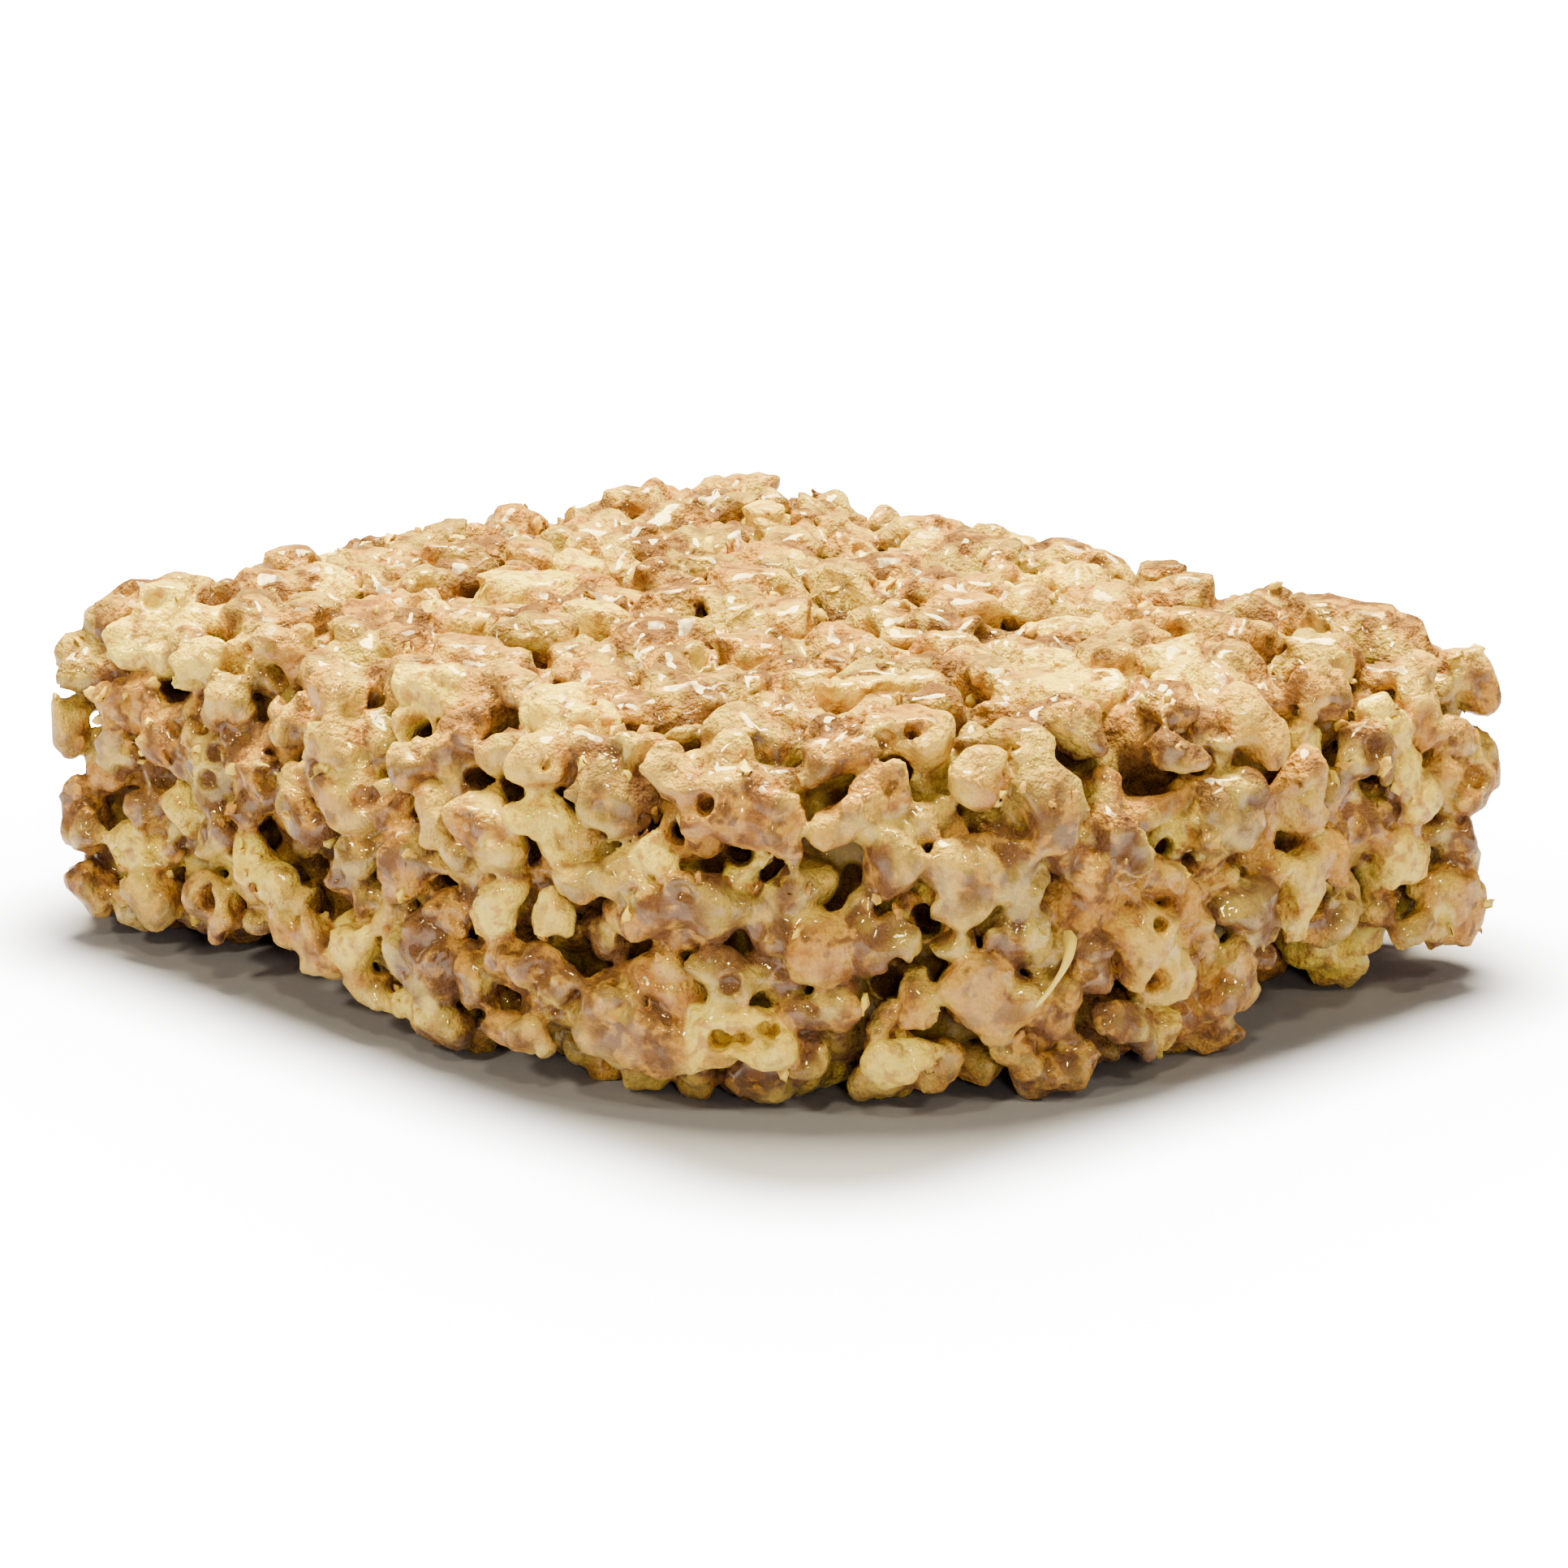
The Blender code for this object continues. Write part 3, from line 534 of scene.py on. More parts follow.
def puff_at(centre, axis, way_out, length, width):
    """One puff's place and size. Its spine gives the points that others keep clear of."""
    axis = axis / np.linalg.norm(axis)
    half_spine = max(length - width, 0.2 * MM) / 2
    spine = centre + np.linspace(-half_spine, half_spine, 5)[:, None] * axis
    lowest = spine[:, 2].min() - 0.5 * width
    if lowest < 0:
        centre = centre - (0, 0, lowest)
        spine = spine - (0, 0, lowest)
    return {"centre": centre, "axis": axis, "out": way_out, "length": length, "width": width, "spine": spine}


def fill_with_puffs(laid, rng, tries, depths, lengths, widths, most_tilt, squeeze):
    """Throws puffs into the bar at random and keeps those that fit between the others."""
    bar = settings().bar_sizes
    half = np.array([bar.length, bar.width, bar.height]) / 2
    points = rng.uniform(-half, half, (tries, 3)) + (0, 0, bar.height / 2)
    depth = -distance_at(points)
    points = points[(depth > depths[0]) & (depth < depths[1])]
    ways_out = outward(points)
    turns = rng.normal(size=points.shape)
    sideways = np.cross(ways_out, turns)
    sideways /= np.linalg.norm(sideways, axis=1, keepdims=True)
    tilts = rng.uniform(-most_tilt, most_tilt, len(points))[:, None]
    axes = sideways * np.cos(tilts) + ways_out * np.sin(tilts)
    sizes = rng.uniform((lengths[0], widths[0]), (lengths[1], widths[1]), (len(points), 2))
    centres = np.array([p["centre"] for p in laid])
    spines = np.array([p["spine"] for p in laid])
    thick = np.array([p["width"] for p in laid])
    reach = np.array([p["length"] for p in laid])
    for point, axis, way_out, (length, width) in zip(points, axes, ways_out, sizes):
        new = puff_at(point, axis, way_out, length, width)
        ends = new["spine"][[0, -1]]
        if distance_at(ends).max() > -0.5 * width + 0.35 * MM:
            continue
        gaps = np.linalg.norm(centres - new["centre"], axis=1)
        near = gaps < (reach + length) / 2
        between = np.linalg.norm(spines[near][:, :, None] - new["spine"][None, None], axis=3)
        if between.size and (between.min(axis=(1, 2)) < squeeze * (thick[near] + width) / 2).any():
            continue
        laid.append(new)
        centres = np.vstack([centres, new["centre"]])
        spines = np.concatenate([spines, new["spine"][None]])
        thick = np.append(thick, width)
        reach = np.append(reach, length)


def form_puffs(laid, rng):
    """Gives each puff its own bend, flatness, blisters and tone."""
    for puff in laid:
        across = np.cross(puff["axis"], puff["out"])
        across /= np.linalg.norm(across)
        puff["across"] = across
        puff["lift"] = np.cross(across, puff["axis"])
        puff["flat"] = rng.uniform(0.78, 1.0)
        puff["bend"] = rng.uniform(-1.1, 1.1) * MM * puff["length"] / (7 * MM)
        puff["taper"] = rng.uniform(-0.28, 0.28)
        half = puff["length"] / 2
        radius = puff["width"] / 2
        blisters = []
        for _ in range(rng.integers(3, 7)):
            turn = rng.uniform(0, math.tau)
            size = rng.uniform(0.36, 0.74) * radius
            off = radius - size * rng.uniform(0.3, 0.8)
            along = rng.uniform(-0.75, 0.75) * half
            blisters.append((along, off * math.cos(turn), off * math.sin(turn), size))
        puff["blisters"] = blisters
        usual = rng.choice(PUFF_TONES, p=TONE_CHANCES)
        puff["tone"] = puff.get("tone", usual) + rng.uniform(0, 0.1)


@functools.lru_cache(maxsize=1)
def all_puffs():
    """Every puff in the bar: the solid's own, a full skin, bits in the gaps and those behind."""
    puff = settings().puff_sizes
    rng = np.random.default_rng(puff.seed)
    laid = large_puffs() + placed(SMALL_PLACED_PUFFS)
    long, wide = puff.length, puff.width
    full = ((0.62 * long, 1.05 * long), (0.70 * wide, 1.0 * wide))
    half = ((0.40 * long, 0.66 * long), (0.52 * wide, 0.8 * wide))
    fill_with_puffs(laid, rng, 20000, (1.2 * MM, 2.4 * MM), *full, math.radians(34), puff.squeeze)
    fill_with_puffs(laid, rng, 16000, (1.2 * MM, 3.6 * MM), *half, math.radians(60), puff.squeeze)
    fill_with_puffs(laid, rng, 24000, (2.4 * MM, 5.4 * MM), *full, math.radians(80), 0.66 * puff.squeeze)
    form_puffs(laid, rng)
    return laid


# The field.
def smooth_min(a, b, reach):
    blend = np.maximum(reach - np.abs(a - b), 0) / reach
    return np.minimum(a, b) - blend * blend * reach * 0.25


def smooth_max(a, b, reach):
    return -smooth_min(-a, -b, reach)


def puff_distance(puff, x, y, z):
    """Distance to one puff, in arrays of offsets from its centre."""
    u = x * puff["axis"][0] + y * puff["axis"][1] + z * puff["axis"][2]
    v = x * puff["across"][0] + y * puff["across"][1] + z * puff["across"][2]
    w = x * puff["lift"][0] + y * puff["lift"][1] + z * puff["lift"][2]
    half = puff["length"] / 2
    share = np.clip(u / half, -1.2, 1.2)
    v = v - puff["bend"] * (0.5 - share * share)
    radius = puff["width"] / 2 * (1 + puff["taper"] * share) * (1.14 - 0.26 * share * share)
    past = np.maximum(np.abs(u) - (half - puff["width"] / 2), 0)
    body = (np.sqrt(v * v + (w / puff["flat"]) ** 2 + past * past) - radius) * puff["flat"]
    for along, side, rise, size in puff["blisters"]:
        blister = np.sqrt((u - along) ** 2 + (v - side) ** 2 + (w - rise) ** 2) - size
        body = smooth_min(body, blister, BLISTER_JOIN)
    return body


def smooth_noise(rng, axes, period):
    """Soft random waves of about this period over the grid, near -1 to 1."""
    shape = [int((axis[-1] - axis[0]) / period) + 5 for axis in axes]
    field = rng.uniform(-1, 1, shape).astype(np.float32)
    for dim, axis in enumerate(axes):
        place = (axis - axis[0]) / period + 1
        base = place.astype(int)
        t = (place - base).astype(np.float32)
        weights = np.zeros((len(axis), shape[dim]), np.float32)
        rows = np.arange(len(axis))
        weights[rows, base - 1] = (1 - t) ** 3 / 6
        weights[rows, base] = (3 * t**3 - 6 * t**2 + 4) / 6
        weights[rows, base + 1] = (-3 * t**3 + 3 * t**2 + 3 * t + 1) / 6
        weights[rows, base + 2] = t**3 / 6
        field = np.moveaxis(np.tensordot(weights, field, (1, dim)), 0, dim)
    return field * 2.2


def spread(field, steps):
    """The field's mean over a box of this many steps each way."""
    for axis in range(3):
        widths = [(steps + 1, steps) if a == axis else (0, 0) for a in range(3)]
        total = np.cumsum(np.pad(field, widths, "edge"), axis)
        high = np.take(total, range(2 * steps + 1, total.shape[axis]), axis)
        low = np.take(total, range(0, total.shape[axis] - 2 * steps - 1), axis)
        field = (high - low) / (2 * steps + 1)
    return field


def reached_from(start, room):
    """The part of the room that connects to the start, grown until nothing changes."""
    reached = start & room
    while True:
        grown = reached.copy()
        for axis in range(3):
            ahead = [slice(None)] * 3
            behind = [slice(None)] * 3
            ahead[axis] = slice(1, None)
            behind[axis] = slice(None, -1)
            ahead, behind = tuple(ahead), tuple(behind)
            grown[ahead] |= grown[behind] & room[ahead]
            grown[behind] |= grown[ahead] & room[behind]
        if (grown == reached).all():
            return reached
        reached = grown


class Field:
    """The bar as grids: the glazed surface, the bare puffs, their tone and how packed they are."""

    def __init__(self):
        bar = settings().bar_sizes
        puff = settings().puff_sizes
        binder = settings().binder_sizes
        self.step = puff.mesh_step
        margin = GRID_MARGIN
        low = np.array([-bar.length / 2 - margin, -bar.width / 2 - margin, -margin])
        high = np.array([bar.length / 2 + margin, bar.width / 2 + margin, bar.height + margin])
        self.low = low
        self.axes = [np.arange(low[a], high[a] + self.step, self.step) for a in range(3)]
        rng = np.random.default_rng(puff.seed + 1)
        x, y, z = np.meshgrid(*self.axes, indexing="ij", sparse=True)
        self.hull = bar_distance(x, y, z).astype(np.float32)
        nearest, second, bare, kept = self.puff_grids(rng)
        period, height = RIDGE_WAVES
        rough = (RIDGE_LEVEL - np.abs(smooth_noise(rng, self.axes, period * MM))) * height * MM
        rough += self.waves(rng, *COARSE_WAVES)
        rough += self.waves(rng, *FINE_WAVES)
        bare += rough
        kept += rough
        reach = binder.fillet * (0.75 + 0.6 * smooth_noise(rng, self.axes, FILLET_PERIOD)).clip(0.1, 1.6)
        pooled = smooth_min(nearest, second, reach) + GLAZE_DRAWN_IN
        core = (self.hull + binder.solid_depth).astype(np.float32)
        core += self.waves(rng, *CORE_WAVES)
        at_end = ((np.abs(x) - bar.length / 2 + EDGE_BAND) / EDGE_FADE).clip(0, 1)
        at_side = ((np.abs(y) - bar.width / 2 + EDGE_BAND) / EDGE_FADE).clip(0, 1)
        core -= (EDGE_SOLID * at_end * at_side).astype(np.float32)
        glazed = smooth_min(bare, smooth_min(pooled, core, CORE_JOIN) + 0.2 * rough, PUFF_JOIN)
        self.bare = np.minimum(bare, core + BARE_ABOVE_CORE)
        gaps = [row for row in GAPS if row[3] > HOLLOW_DEPTH]
        hollows = [row for row in GAPS if row[3] <= HOLLOW_DEPTH]
        glazed = np.minimum(self.opened(glazed, gaps, rng), np.maximum(kept, glazed))
        glazed = self.pitted(self.opened(glazed, hollows, rng), rng)
        pressed = (z - bar.height - PRESSED_TOP).astype(np.float32)
        pressed = pressed + self.waves(rng, *PRESSED_WAVES)
        glazed = smooth_max(glazed, pressed, HOLE_JOIN)
        glazed = smooth_max(glazed, self.hull - HIGHEST_LUMP, PUFF_JOIN)
        glazed = np.maximum(glazed, (FLOOR_GAP - z).astype(np.float32))
        inside = glazed < 0
        self.pack = spread(inside.astype(np.float32), int(PACK_REACH / self.step))
        self.glazed = self.joined(glazed, inside)

    def waves(self, rng, period, height):
        """Random waves over the grid, from their period and height in millimetres."""
        return smooth_noise(rng, self.axes, period * MM) * height * MM

    def puff_grids(self, rng):
        """Distances to the nearest puff, the second, all of them softly joined, and the placed ones."""
        nearest = np.full(self.hull.shape, np.float32(FARTHEST), np.float32)
        second = nearest.copy()
        bare = nearest.copy()
        kept = nearest.copy()
        tone = np.zeros(nearest.shape, np.float32)
        weight = np.full(nearest.shape, 1e-9, np.float32)
        warps = [self.waves(rng, *WARP_WAVES) for _ in range(3)]
        for one in all_puffs():
            box = self.box_round(one)
            offsets = [self.axes[a][box[a]].astype(np.float32) - one["centre"][a] for a in range(3)]
            offsets = np.meshgrid(*offsets, indexing="ij", sparse=True)
            distance = puff_distance(one, *(offset + warp[box] for offset, warp in zip(offsets, warps)))
            distance = distance.astype(np.float32)
            second[box] = np.minimum(second[box], np.maximum(nearest[box], distance))
            nearest[box] = np.minimum(nearest[box], distance)
            bare[box] = smooth_min(bare[box], distance, PUFF_JOIN)
            if "kept" in one:
                kept[box] = np.minimum(kept[box], distance)
            share = np.exp(-distance.clip(-3 * MM, 3 * MM) / TONE_BLEND)
            tone[box] += share * one["tone"]
            weight[box] += share
        self.tone = tone / weight
        return nearest, second, bare, kept

    def joined(self, glazed, inside):
        """The field without loose bits outside the bar and closed bubbles in it."""
        body = reached_from(self.hull < -settings().binder_sizes.solid_depth - self.step, inside)
        edge = np.zeros(glazed.shape, bool)
        edge[0] = edge[-1] = edge[:, 0] = edge[:, -1] = edge[:, :, 0] = edge[:, :, -1] = True
        open_air = reached_from(edge, ~inside)
        tiny = 0.2 * self.step
        glazed[inside & ~body] = tiny
        glazed[~inside & ~open_air] = -tiny
        return glazed

    def quarter(self, name):
        """The grid cells of a quarter of the bar, a little past its middle, and their low corner."""
        part, corner = [slice(None)] * 3, self.low.copy()
        for axis, high in enumerate(QUARTERS[name][:2]):
            middle = len(self.axes[axis]) // 2
            part[axis] = slice(middle - 2, None) if high else slice(0, middle + 2)
            corner[axis] += part[axis].start * self.step
        return tuple(part), corner

    def box_round(self, puff):
        """The grid cells that a puff's surface and its fillets can reach."""
        reach = np.abs(puff["axis"]) * puff["length"] / 2 + puff["width"] / 2 + 2.1 * MM
        low = ((puff["centre"] - reach - self.low) / self.step).astype(int)
        high = ((puff["centre"] + reach - self.low) / self.step).astype(int) + 2
        return tuple(slice(max(low[a], 0), min(high[a], len(self.axes[a]))) for a in range(3))

    def round_mouth(self, mouth, way, reach):
        """The grid cells within reach of a mouth, with how far in and how far aside each one lies."""
        low = ((mouth - reach - self.low) / self.step).astype(int).clip(0)
        high = ((mouth + reach - self.low) / self.step).astype(int) + 2
        box = tuple(slice(low[a], high[a]) for a in range(3))
        offsets = [self.axes[a][box[a]] - mouth[a] for a in range(3)]
        x, y, z = np.meshgrid(*offsets, indexing="ij", sparse=True)
        inward = x * way[0] + y * way[1] + z * way[2]
        aside = np.sqrt(np.maximum(x * x + y * y + z * z - inward**2, 0))
        return box, inward, aside

    def opened(self, glazed, holes, rng):
        """The field with ragged holes that narrow on their way in."""
        glazed = glazed.copy()
        ragged = 1 + GAP_RAGGED * smooth_noise(rng, self.axes, 1.0 * MM)
        for mouth, way, radius, deep in holes:
            radius, deep = radius * MM, deep * MM
            way = np.array(way) / np.linalg.norm(way)
            box, inward, aside = self.round_mouth(np.array(mouth) * MM, way, 5 * MM)
            past = np.maximum(inward - deep, 0)
            narrowed = 1 - GAP_NARROWS * (inward / deep).clip(0, 1)
            hole = np.hypot(aside, past) - radius * ragged[box] * narrowed
            glazed[box] = smooth_max(glazed[box], -hole, HOLE_JOIN)
        return glazed

    def pitted(self, glazed, rng):
        """Burst bubbles: round pits where a line out of a puff leaves the glazed surface."""
        steps = np.arange(0, 4 * MM, 0.5 * self.step)
        for one in all_puffs():
            chance = rng.uniform()
            if chance > BURST_SHARE:
                continue
            way = one["out"] + rng.normal(0, 0.55, 3)
            way /= np.linalg.norm(way)
            start = one["centre"] + one["axis"] * rng.uniform(-0.36, 0.36) * one["length"]
            line = start + steps[:, None] * way
            outside = self.sample(glazed, line) > 0
            if outside[0] or not outside.any():
                continue
            radius = rng.uniform(*(WIDE_BURSTS if chance < WIDE_SHARE else SMALL_BURSTS)) * MM
            deep = rng.uniform(*BURST_DEPTHS)
            box, inward, aside = self.round_mouth(line[outside.argmax()], -way, 2.4 * radius)
            pit = np.hypot(aside, inward / deep) - radius
            rim = np.abs(np.hypot(aside - 1.15 * radius, inward)) - 0.16 * radius
            part = smooth_min(glazed[box], rim, 0.45 * radius)
            glazed[box] = smooth_max(part, -pit, PIT_JOIN)
        return glazed

    def sample(self, grid, points):
        """A grid's value at points, between its nodes."""
        place = (points - self.low) / self.step
        base = np.floor(place).astype(int)
        for axis in range(3):
            base[:, axis] = base[:, axis].clip(0, grid.shape[axis] - 2)
        t = (place - base).clip(0, 1)
        value = np.zeros(len(points))
        for corner in range(8):
            bits = [(corner >> axis) & 1 for axis in range(3)]
            share = np.prod([t[:, a] if bits[a] else 1 - t[:, a] for a in range(3)], axis=0)
            value += share * grid[base[:, 0] + bits[0], base[:, 1] + bits[1], base[:, 2] + bits[2]]
        return value


@functools.lru_cache(maxsize=1)
def bar_field():
    return Field()


def mesh_from(name, values, quarter, most_faces):
    """A closed mesh of where the values are negative in a quarter of the bar, thinned to a limit."""
    field = bar_field()
    part, corner = field.quarter(quarter)
    values = np.clip(values[part] / field.step, -BAND_STEPS, BAND_STEPS).astype(np.float32)
    values[0] = values[-1] = values[:, 0] = values[:, -1] = 1
    grid = openvdb.FloatGrid(2.0)
    grid.copyFromArray(values)
    points, triangles, quads = grid.convertToPolygons(isovalue=0.0, adaptivity=MESH_ADAPTIVITY)
    points = points * field.step + corner
    faces = np.concatenate([triangles, quads[:, [0, 1, 2]], quads[:, [0, 2, 3]]])
    mesh = bpy.data.meshes.new(name)
    mesh.vertices.add(len(points))
    mesh.vertices.foreach_set("co", points.astype(np.float32).ravel())
    mesh.loops.add(3 * len(faces))
    mesh.loops.foreach_set("vertex_index", faces.ravel().astype(np.int32))
    mesh.polygons.add(len(faces))
    mesh.polygons.foreach_set("loop_start", np.arange(0, 3 * len(faces), 3, dtype=np.int32))
    mesh.update(calc_edges=True)
    a, b, c = (points[faces[:, i]] for i in range(3))
    if np.einsum("ij,ij->i", a, np.cross(b, c)).sum() < 0:
        mesh.flip_normals()
    piece = linked(name, mesh)
    if len(faces) > most_faces:
        thin = piece.modifiers.new("thinned", "DECIMATE")
        thin.ratio = most_faces / len(faces)
        as_plain_mesh(piece)
    return piece


def mark_surface(piece):
    """Stores on the mesh what the glaze shader reads: tone, film, pack and depth."""
    field = bar_field()
    mesh = piece.data
    points = np.empty(3 * len(mesh.vertices), np.float32)
    mesh.vertices.foreach_get("co", points)
    points = points.reshape(-1, 3).astype(float)
    marks = {
        "tone": field.sample(field.tone, points),
        "film": field.sample(field.bare, points) / MM,
        "pack": field.sample(field.pack, points),
        "depth": -field.sample(field.hull, points) / MM,
    }
    for name, values in marks.items():
        mark(mesh, name, values)


def mark(mesh, name, values):
    """Stores one number at each vertex of a mesh."""
    layer = mesh.attributes.new(name, "FLOAT", "POINT")
    layer.data.foreach_set("value", np.array(values, np.float32))


def finish_piece(piece, material):
    piece.data.materials.clear()
    piece.data.materials.append(material)
    piece.data.shade_smooth()
    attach(piece, BODY)
    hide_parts(BAR_NODE)


# Materials.
def socket(group, name, kind, direction, default=None):
    made = group.interface.new_socket(name, in_out=direction, socket_type=kind)
    if default is not None:
        made.default_value = default
    return made


class Wires:
    """Adds nodes to a tree and joins them, a node at a time."""

    def __init__(self, tree):
        self.tree = tree

    def add(self, kind, inputs=None, **fields):
        node = self.tree.nodes.new(kind)
        for name, value in fields.items():
            setattr(node, name, value)
        for name, value in (inputs or {}).items():
            if isinstance(value, bpy.types.NodeSocket):
                self.tree.links.new(value, node.inputs[name])
            else:
                node.inputs[name].default_value = value
        return node

    def math(self, operation, a, b=0.0, clamp=False):
        node = self.add("ShaderNodeMath", {0: a, 1: b}, operation=operation, use_clamp=clamp)
        return node.outputs[0]

    def noise(self, place, scale, detail=3.0, roughness=0.55, warp=0.0):
        node = self.add(
            "ShaderNodeTexNoise",
            {"Vector": place, "Scale": scale, "Detail": detail, "Roughness": roughness, "Distortion": warp},
        )
        return node.outputs["Fac"]

    def ramp(self, value, low, high, to_low=0.0, to_high=1.0):
        node = self.add(
            "ShaderNodeMapRange",
            {"Value": value, "From Min": low, "From Max": high, "To Min": to_low, "To Max": to_high},
            interpolation_type="SMOOTHSTEP",
        )
        return node.outputs["Result"]

    def mix(self, share, a, b):
        node = self.add("ShaderNodeMix", {0: share, 6: a, 7: b}, data_type="RGBA")
        return node.outputs[2]

    def vector(self, operation, a, b=(0, 0, 0)):
        node = self.add("ShaderNodeVectorMath", {0: a, 1: b}, operation=operation)
        return node.outputs["Vector"]

    def random_vector(self, low, high):
        node = self.add("FunctionNodeRandomValue", {"Min": low, "Max": high}, data_type="FLOAT_VECTOR")
        return node.outputs["Value"]

    def stored(self, name):
        node = self.add("GeometryNodeInputNamedAttribute", {"Name": name}, data_type="FLOAT")
        return node.outputs["Attribute"]


@functools.lru_cache(maxsize=1)
def glazed_rice_group():
    """The look of a puff under its glaze, shared by every material of the bar."""
    group = bpy.data.node_groups.new("glazed rice", "ShaderNodeTree")
    socket(group, "Place", "NodeSocketVector", "INPUT")
    for name in ("Tone", "Film", "Pack", "Depth"):
        socket(group, name, "NodeSocketFloat", "INPUT", 0.5)
    for name in ("Toasted", "Cocoa", "Plain", "Marshmallow"):
        socket(group, name, "NodeSocketColor", "INPUT")
    socket(group, "Colour", "NodeSocketColor", "OUTPUT")
    socket(group, "Roughness", "NodeSocketFloat", "OUTPUT")
    socket(group, "Height", "NodeSocketFloat", "OUTPUT")
    socket(group, "Wetness", "NodeSocketFloat", "OUTPUT")
    w = Wires(group)
    into = w.add("NodeGroupInput").outputs
    place = into["Place"]
    broad = w.noise(place, 210.0, 2.0)
    patch = w.noise(place, 520.0, 2.0, 0.5, 0.2)
    blotch = w.noise(place, 900.0, 2.0, 0.55, 0.3)
    speck = w.noise(place, 2300.0, 2.0, 0.6)
    fibre = w.noise(place, 6000.0, 2.0, 0.6)

    toasted = w.mix(w.ramp(speck, 0.35, 0.7), into["Toasted"], TOASTED_LIGHT)
    toasted = w.mix(w.ramp(patch, 0.44, 0.62, 0.0, 0.75), toasted, TOASTED_DARK)
    plain = w.mix(w.ramp(patch, 0.42, 0.58), into["Plain"], PLAIN_LIGHT)
    plain = w.mix(w.ramp(blotch, 0.47, 0.62, 0.0, 0.85), plain, PLAIN_BROWNED)
    puff = w.mix(w.ramp(into["Tone"], 0.12, 0.36), plain, toasted)
    dark = w.math("ADD", blotch, w.ramp(into["Tone"], 0.1, 1.0, -0.16, 0.13))
    puff = w.mix(w.ramp(dark, 0.46, 0.64, 0.0, 0.85), puff, into["Cocoa"])
    dusk = w.math("ADD", patch, w.ramp(into["Tone"], 0.1, 1.0, -0.14, 0.10))
    puff = w.mix(w.ramp(dusk, 0.48, 0.64, 0.0, 0.70), puff, COCOA_THIN)

    coat = w.math("ADD", w.math("MULTIPLY", into["Film"], 2.4), w.ramp(broad, 0.38, 0.62, -0.32, 0.38))
    coat = w.math("ADD", coat, w.ramp(patch, 0.34, 0.66, 0.22, -0.32), clamp=True)
    film = w.mix(w.ramp(patch, 0.36, 0.62), into["Marshmallow"], FILM_LIGHT)
    film = w.mix(w.ramp(speck, 0.62, 0.75, 0.0, 0.3), film, FILM_SPECK)
    colour = w.mix(w.math("MULTIPLY", coat, 0.88), puff, film)
    # Painted highlight: a paler cream on open crests where few puffs crowd round, in broad random patches.
    crest_highlight = w.math("MULTIPLY", w.ramp(into["Pack"], 0.50, 0.30), w.ramp(broad, 0.40, 0.62))
    colour = w.mix(w.math("MULTIPLY", crest_highlight, 0.35), colour, CREST_HIGHLIGHT)
    # Painted shade: darker with depth under the bar's outer form and where puffs pack close, and the gloss is
    # lessened there too.
    shade = w.ramp(into["Depth"], 1.4, 3.6, 0.0, 0.85)
    shade = w.math("ADD", shade, w.ramp(into["Pack"], 0.64, 0.88, 0.0, 0.5), clamp=True)
    colour = w.mix(shade, colour, DEEP_SHADE)

    rough = w.ramp(w.noise(place, 1500.0, 2.0), 0.35, 0.7, 0.42, 0.68)
    wet = w.ramp(w.noise(place, 640.0, 2.0), 0.40, 0.60, 0.15, 1.0)
    wet = w.math("MULTIPLY", w.math("ADD", wet, coat, clamp=True), w.math("SUBTRACT", 1.0, shade))
    height = w.math("ADD", w.math("MULTIPLY", speck, 0.7), w.math("MULTIPLY", fibre, 0.30))
    height = w.math("ADD", height, w.math("MULTIPLY", w.noise(place, 1250.0, 2.0), 1.1))
    out = w.add("NodeGroupOutput")
    for name, value in (("Colour", colour), ("Roughness", rough), ("Height", height), ("Wetness", wet)):
        group.links.new(value, out.inputs[name])
    return group


def rice_material(name, bump, coat, soft):
    """A glazed material. Its own bump depth, gloss and softness set the kinds apart."""
    colours = settings().rice_colours
    material = bpy.data.materials.new(name)
    material.use_nodes = True
    tree = material.node_tree
    tree.nodes.clear()
    w = Wires(tree)
    look = w.add("ShaderNodeGroup", node_tree=glazed_rice_group())
    tree.links.new(w.add("ShaderNodeTexCoord").outputs["Object"], look.inputs["Place"])
    for label in ("tone", "film", "pack", "depth"):
        stored = w.add("ShaderNodeAttribute", attribute_name=label).outputs["Fac"]
        tree.links.new(stored, look.inputs[label.capitalize()])
    look.inputs["Toasted"].default_value = colours.tan
    look.inputs["Cocoa"].default_value = colours.brown
    look.inputs["Plain"].default_value = colours.pale
    look.inputs["Marshmallow"].default_value = colours.film
    raised = w.add("ShaderNodeBump", {"Strength": 0.75, "Distance": bump, "Height": look.outputs["Height"]})
    shader = w.add(
        "ShaderNodeBsdfPrincipled",
        {
            "Base Color": look.outputs["Colour"],
            "Roughness": look.outputs["Roughness"],
            "Normal": raised.outputs["Normal"],
            "Coat Weight": w.math("MULTIPLY", look.outputs["Wetness"], coat),
            "Coat Roughness": 0.06,
            "Coat IOR": 1.7,
            "Specular IOR Level": 0.1,
            "IOR": 1.47,
            "Subsurface Weight": soft,
            "Subsurface Scale": 0.0006,
        },
    )
    shader.inputs["Subsurface Radius"].default_value = (1.0, 0.62, 0.3)
    out = w.add("ShaderNodeOutputMaterial")
    tree.links.new(shader.outputs["BSDF"], out.inputs["Surface"])
    return material


# The operators.
class RICEBAR_OT_marshmallow(bpy.types.Operator):
    """Make the marshmallow that coats and joins the puffs"""

    bl_idname = "ricebar.marshmallow"
    bl_label = "Marshmallow"

    def execute(self, context):
        field = bar_field()
        bared = THIN_FILM_DROP * (field.bare < THIN_FILM)
        material = rice_material("set marshmallow", 0.7 * MM, 0.8, 0.2)
        for quarter, (_, _, faces, _) in QUARTERS.items():
            piece = mesh_from("marshmallow_" + quarter, field.glazed + bared, quarter, faces)
            mark_surface(piece)
            finish_piece(piece, material)
        return {"FINISHED"}


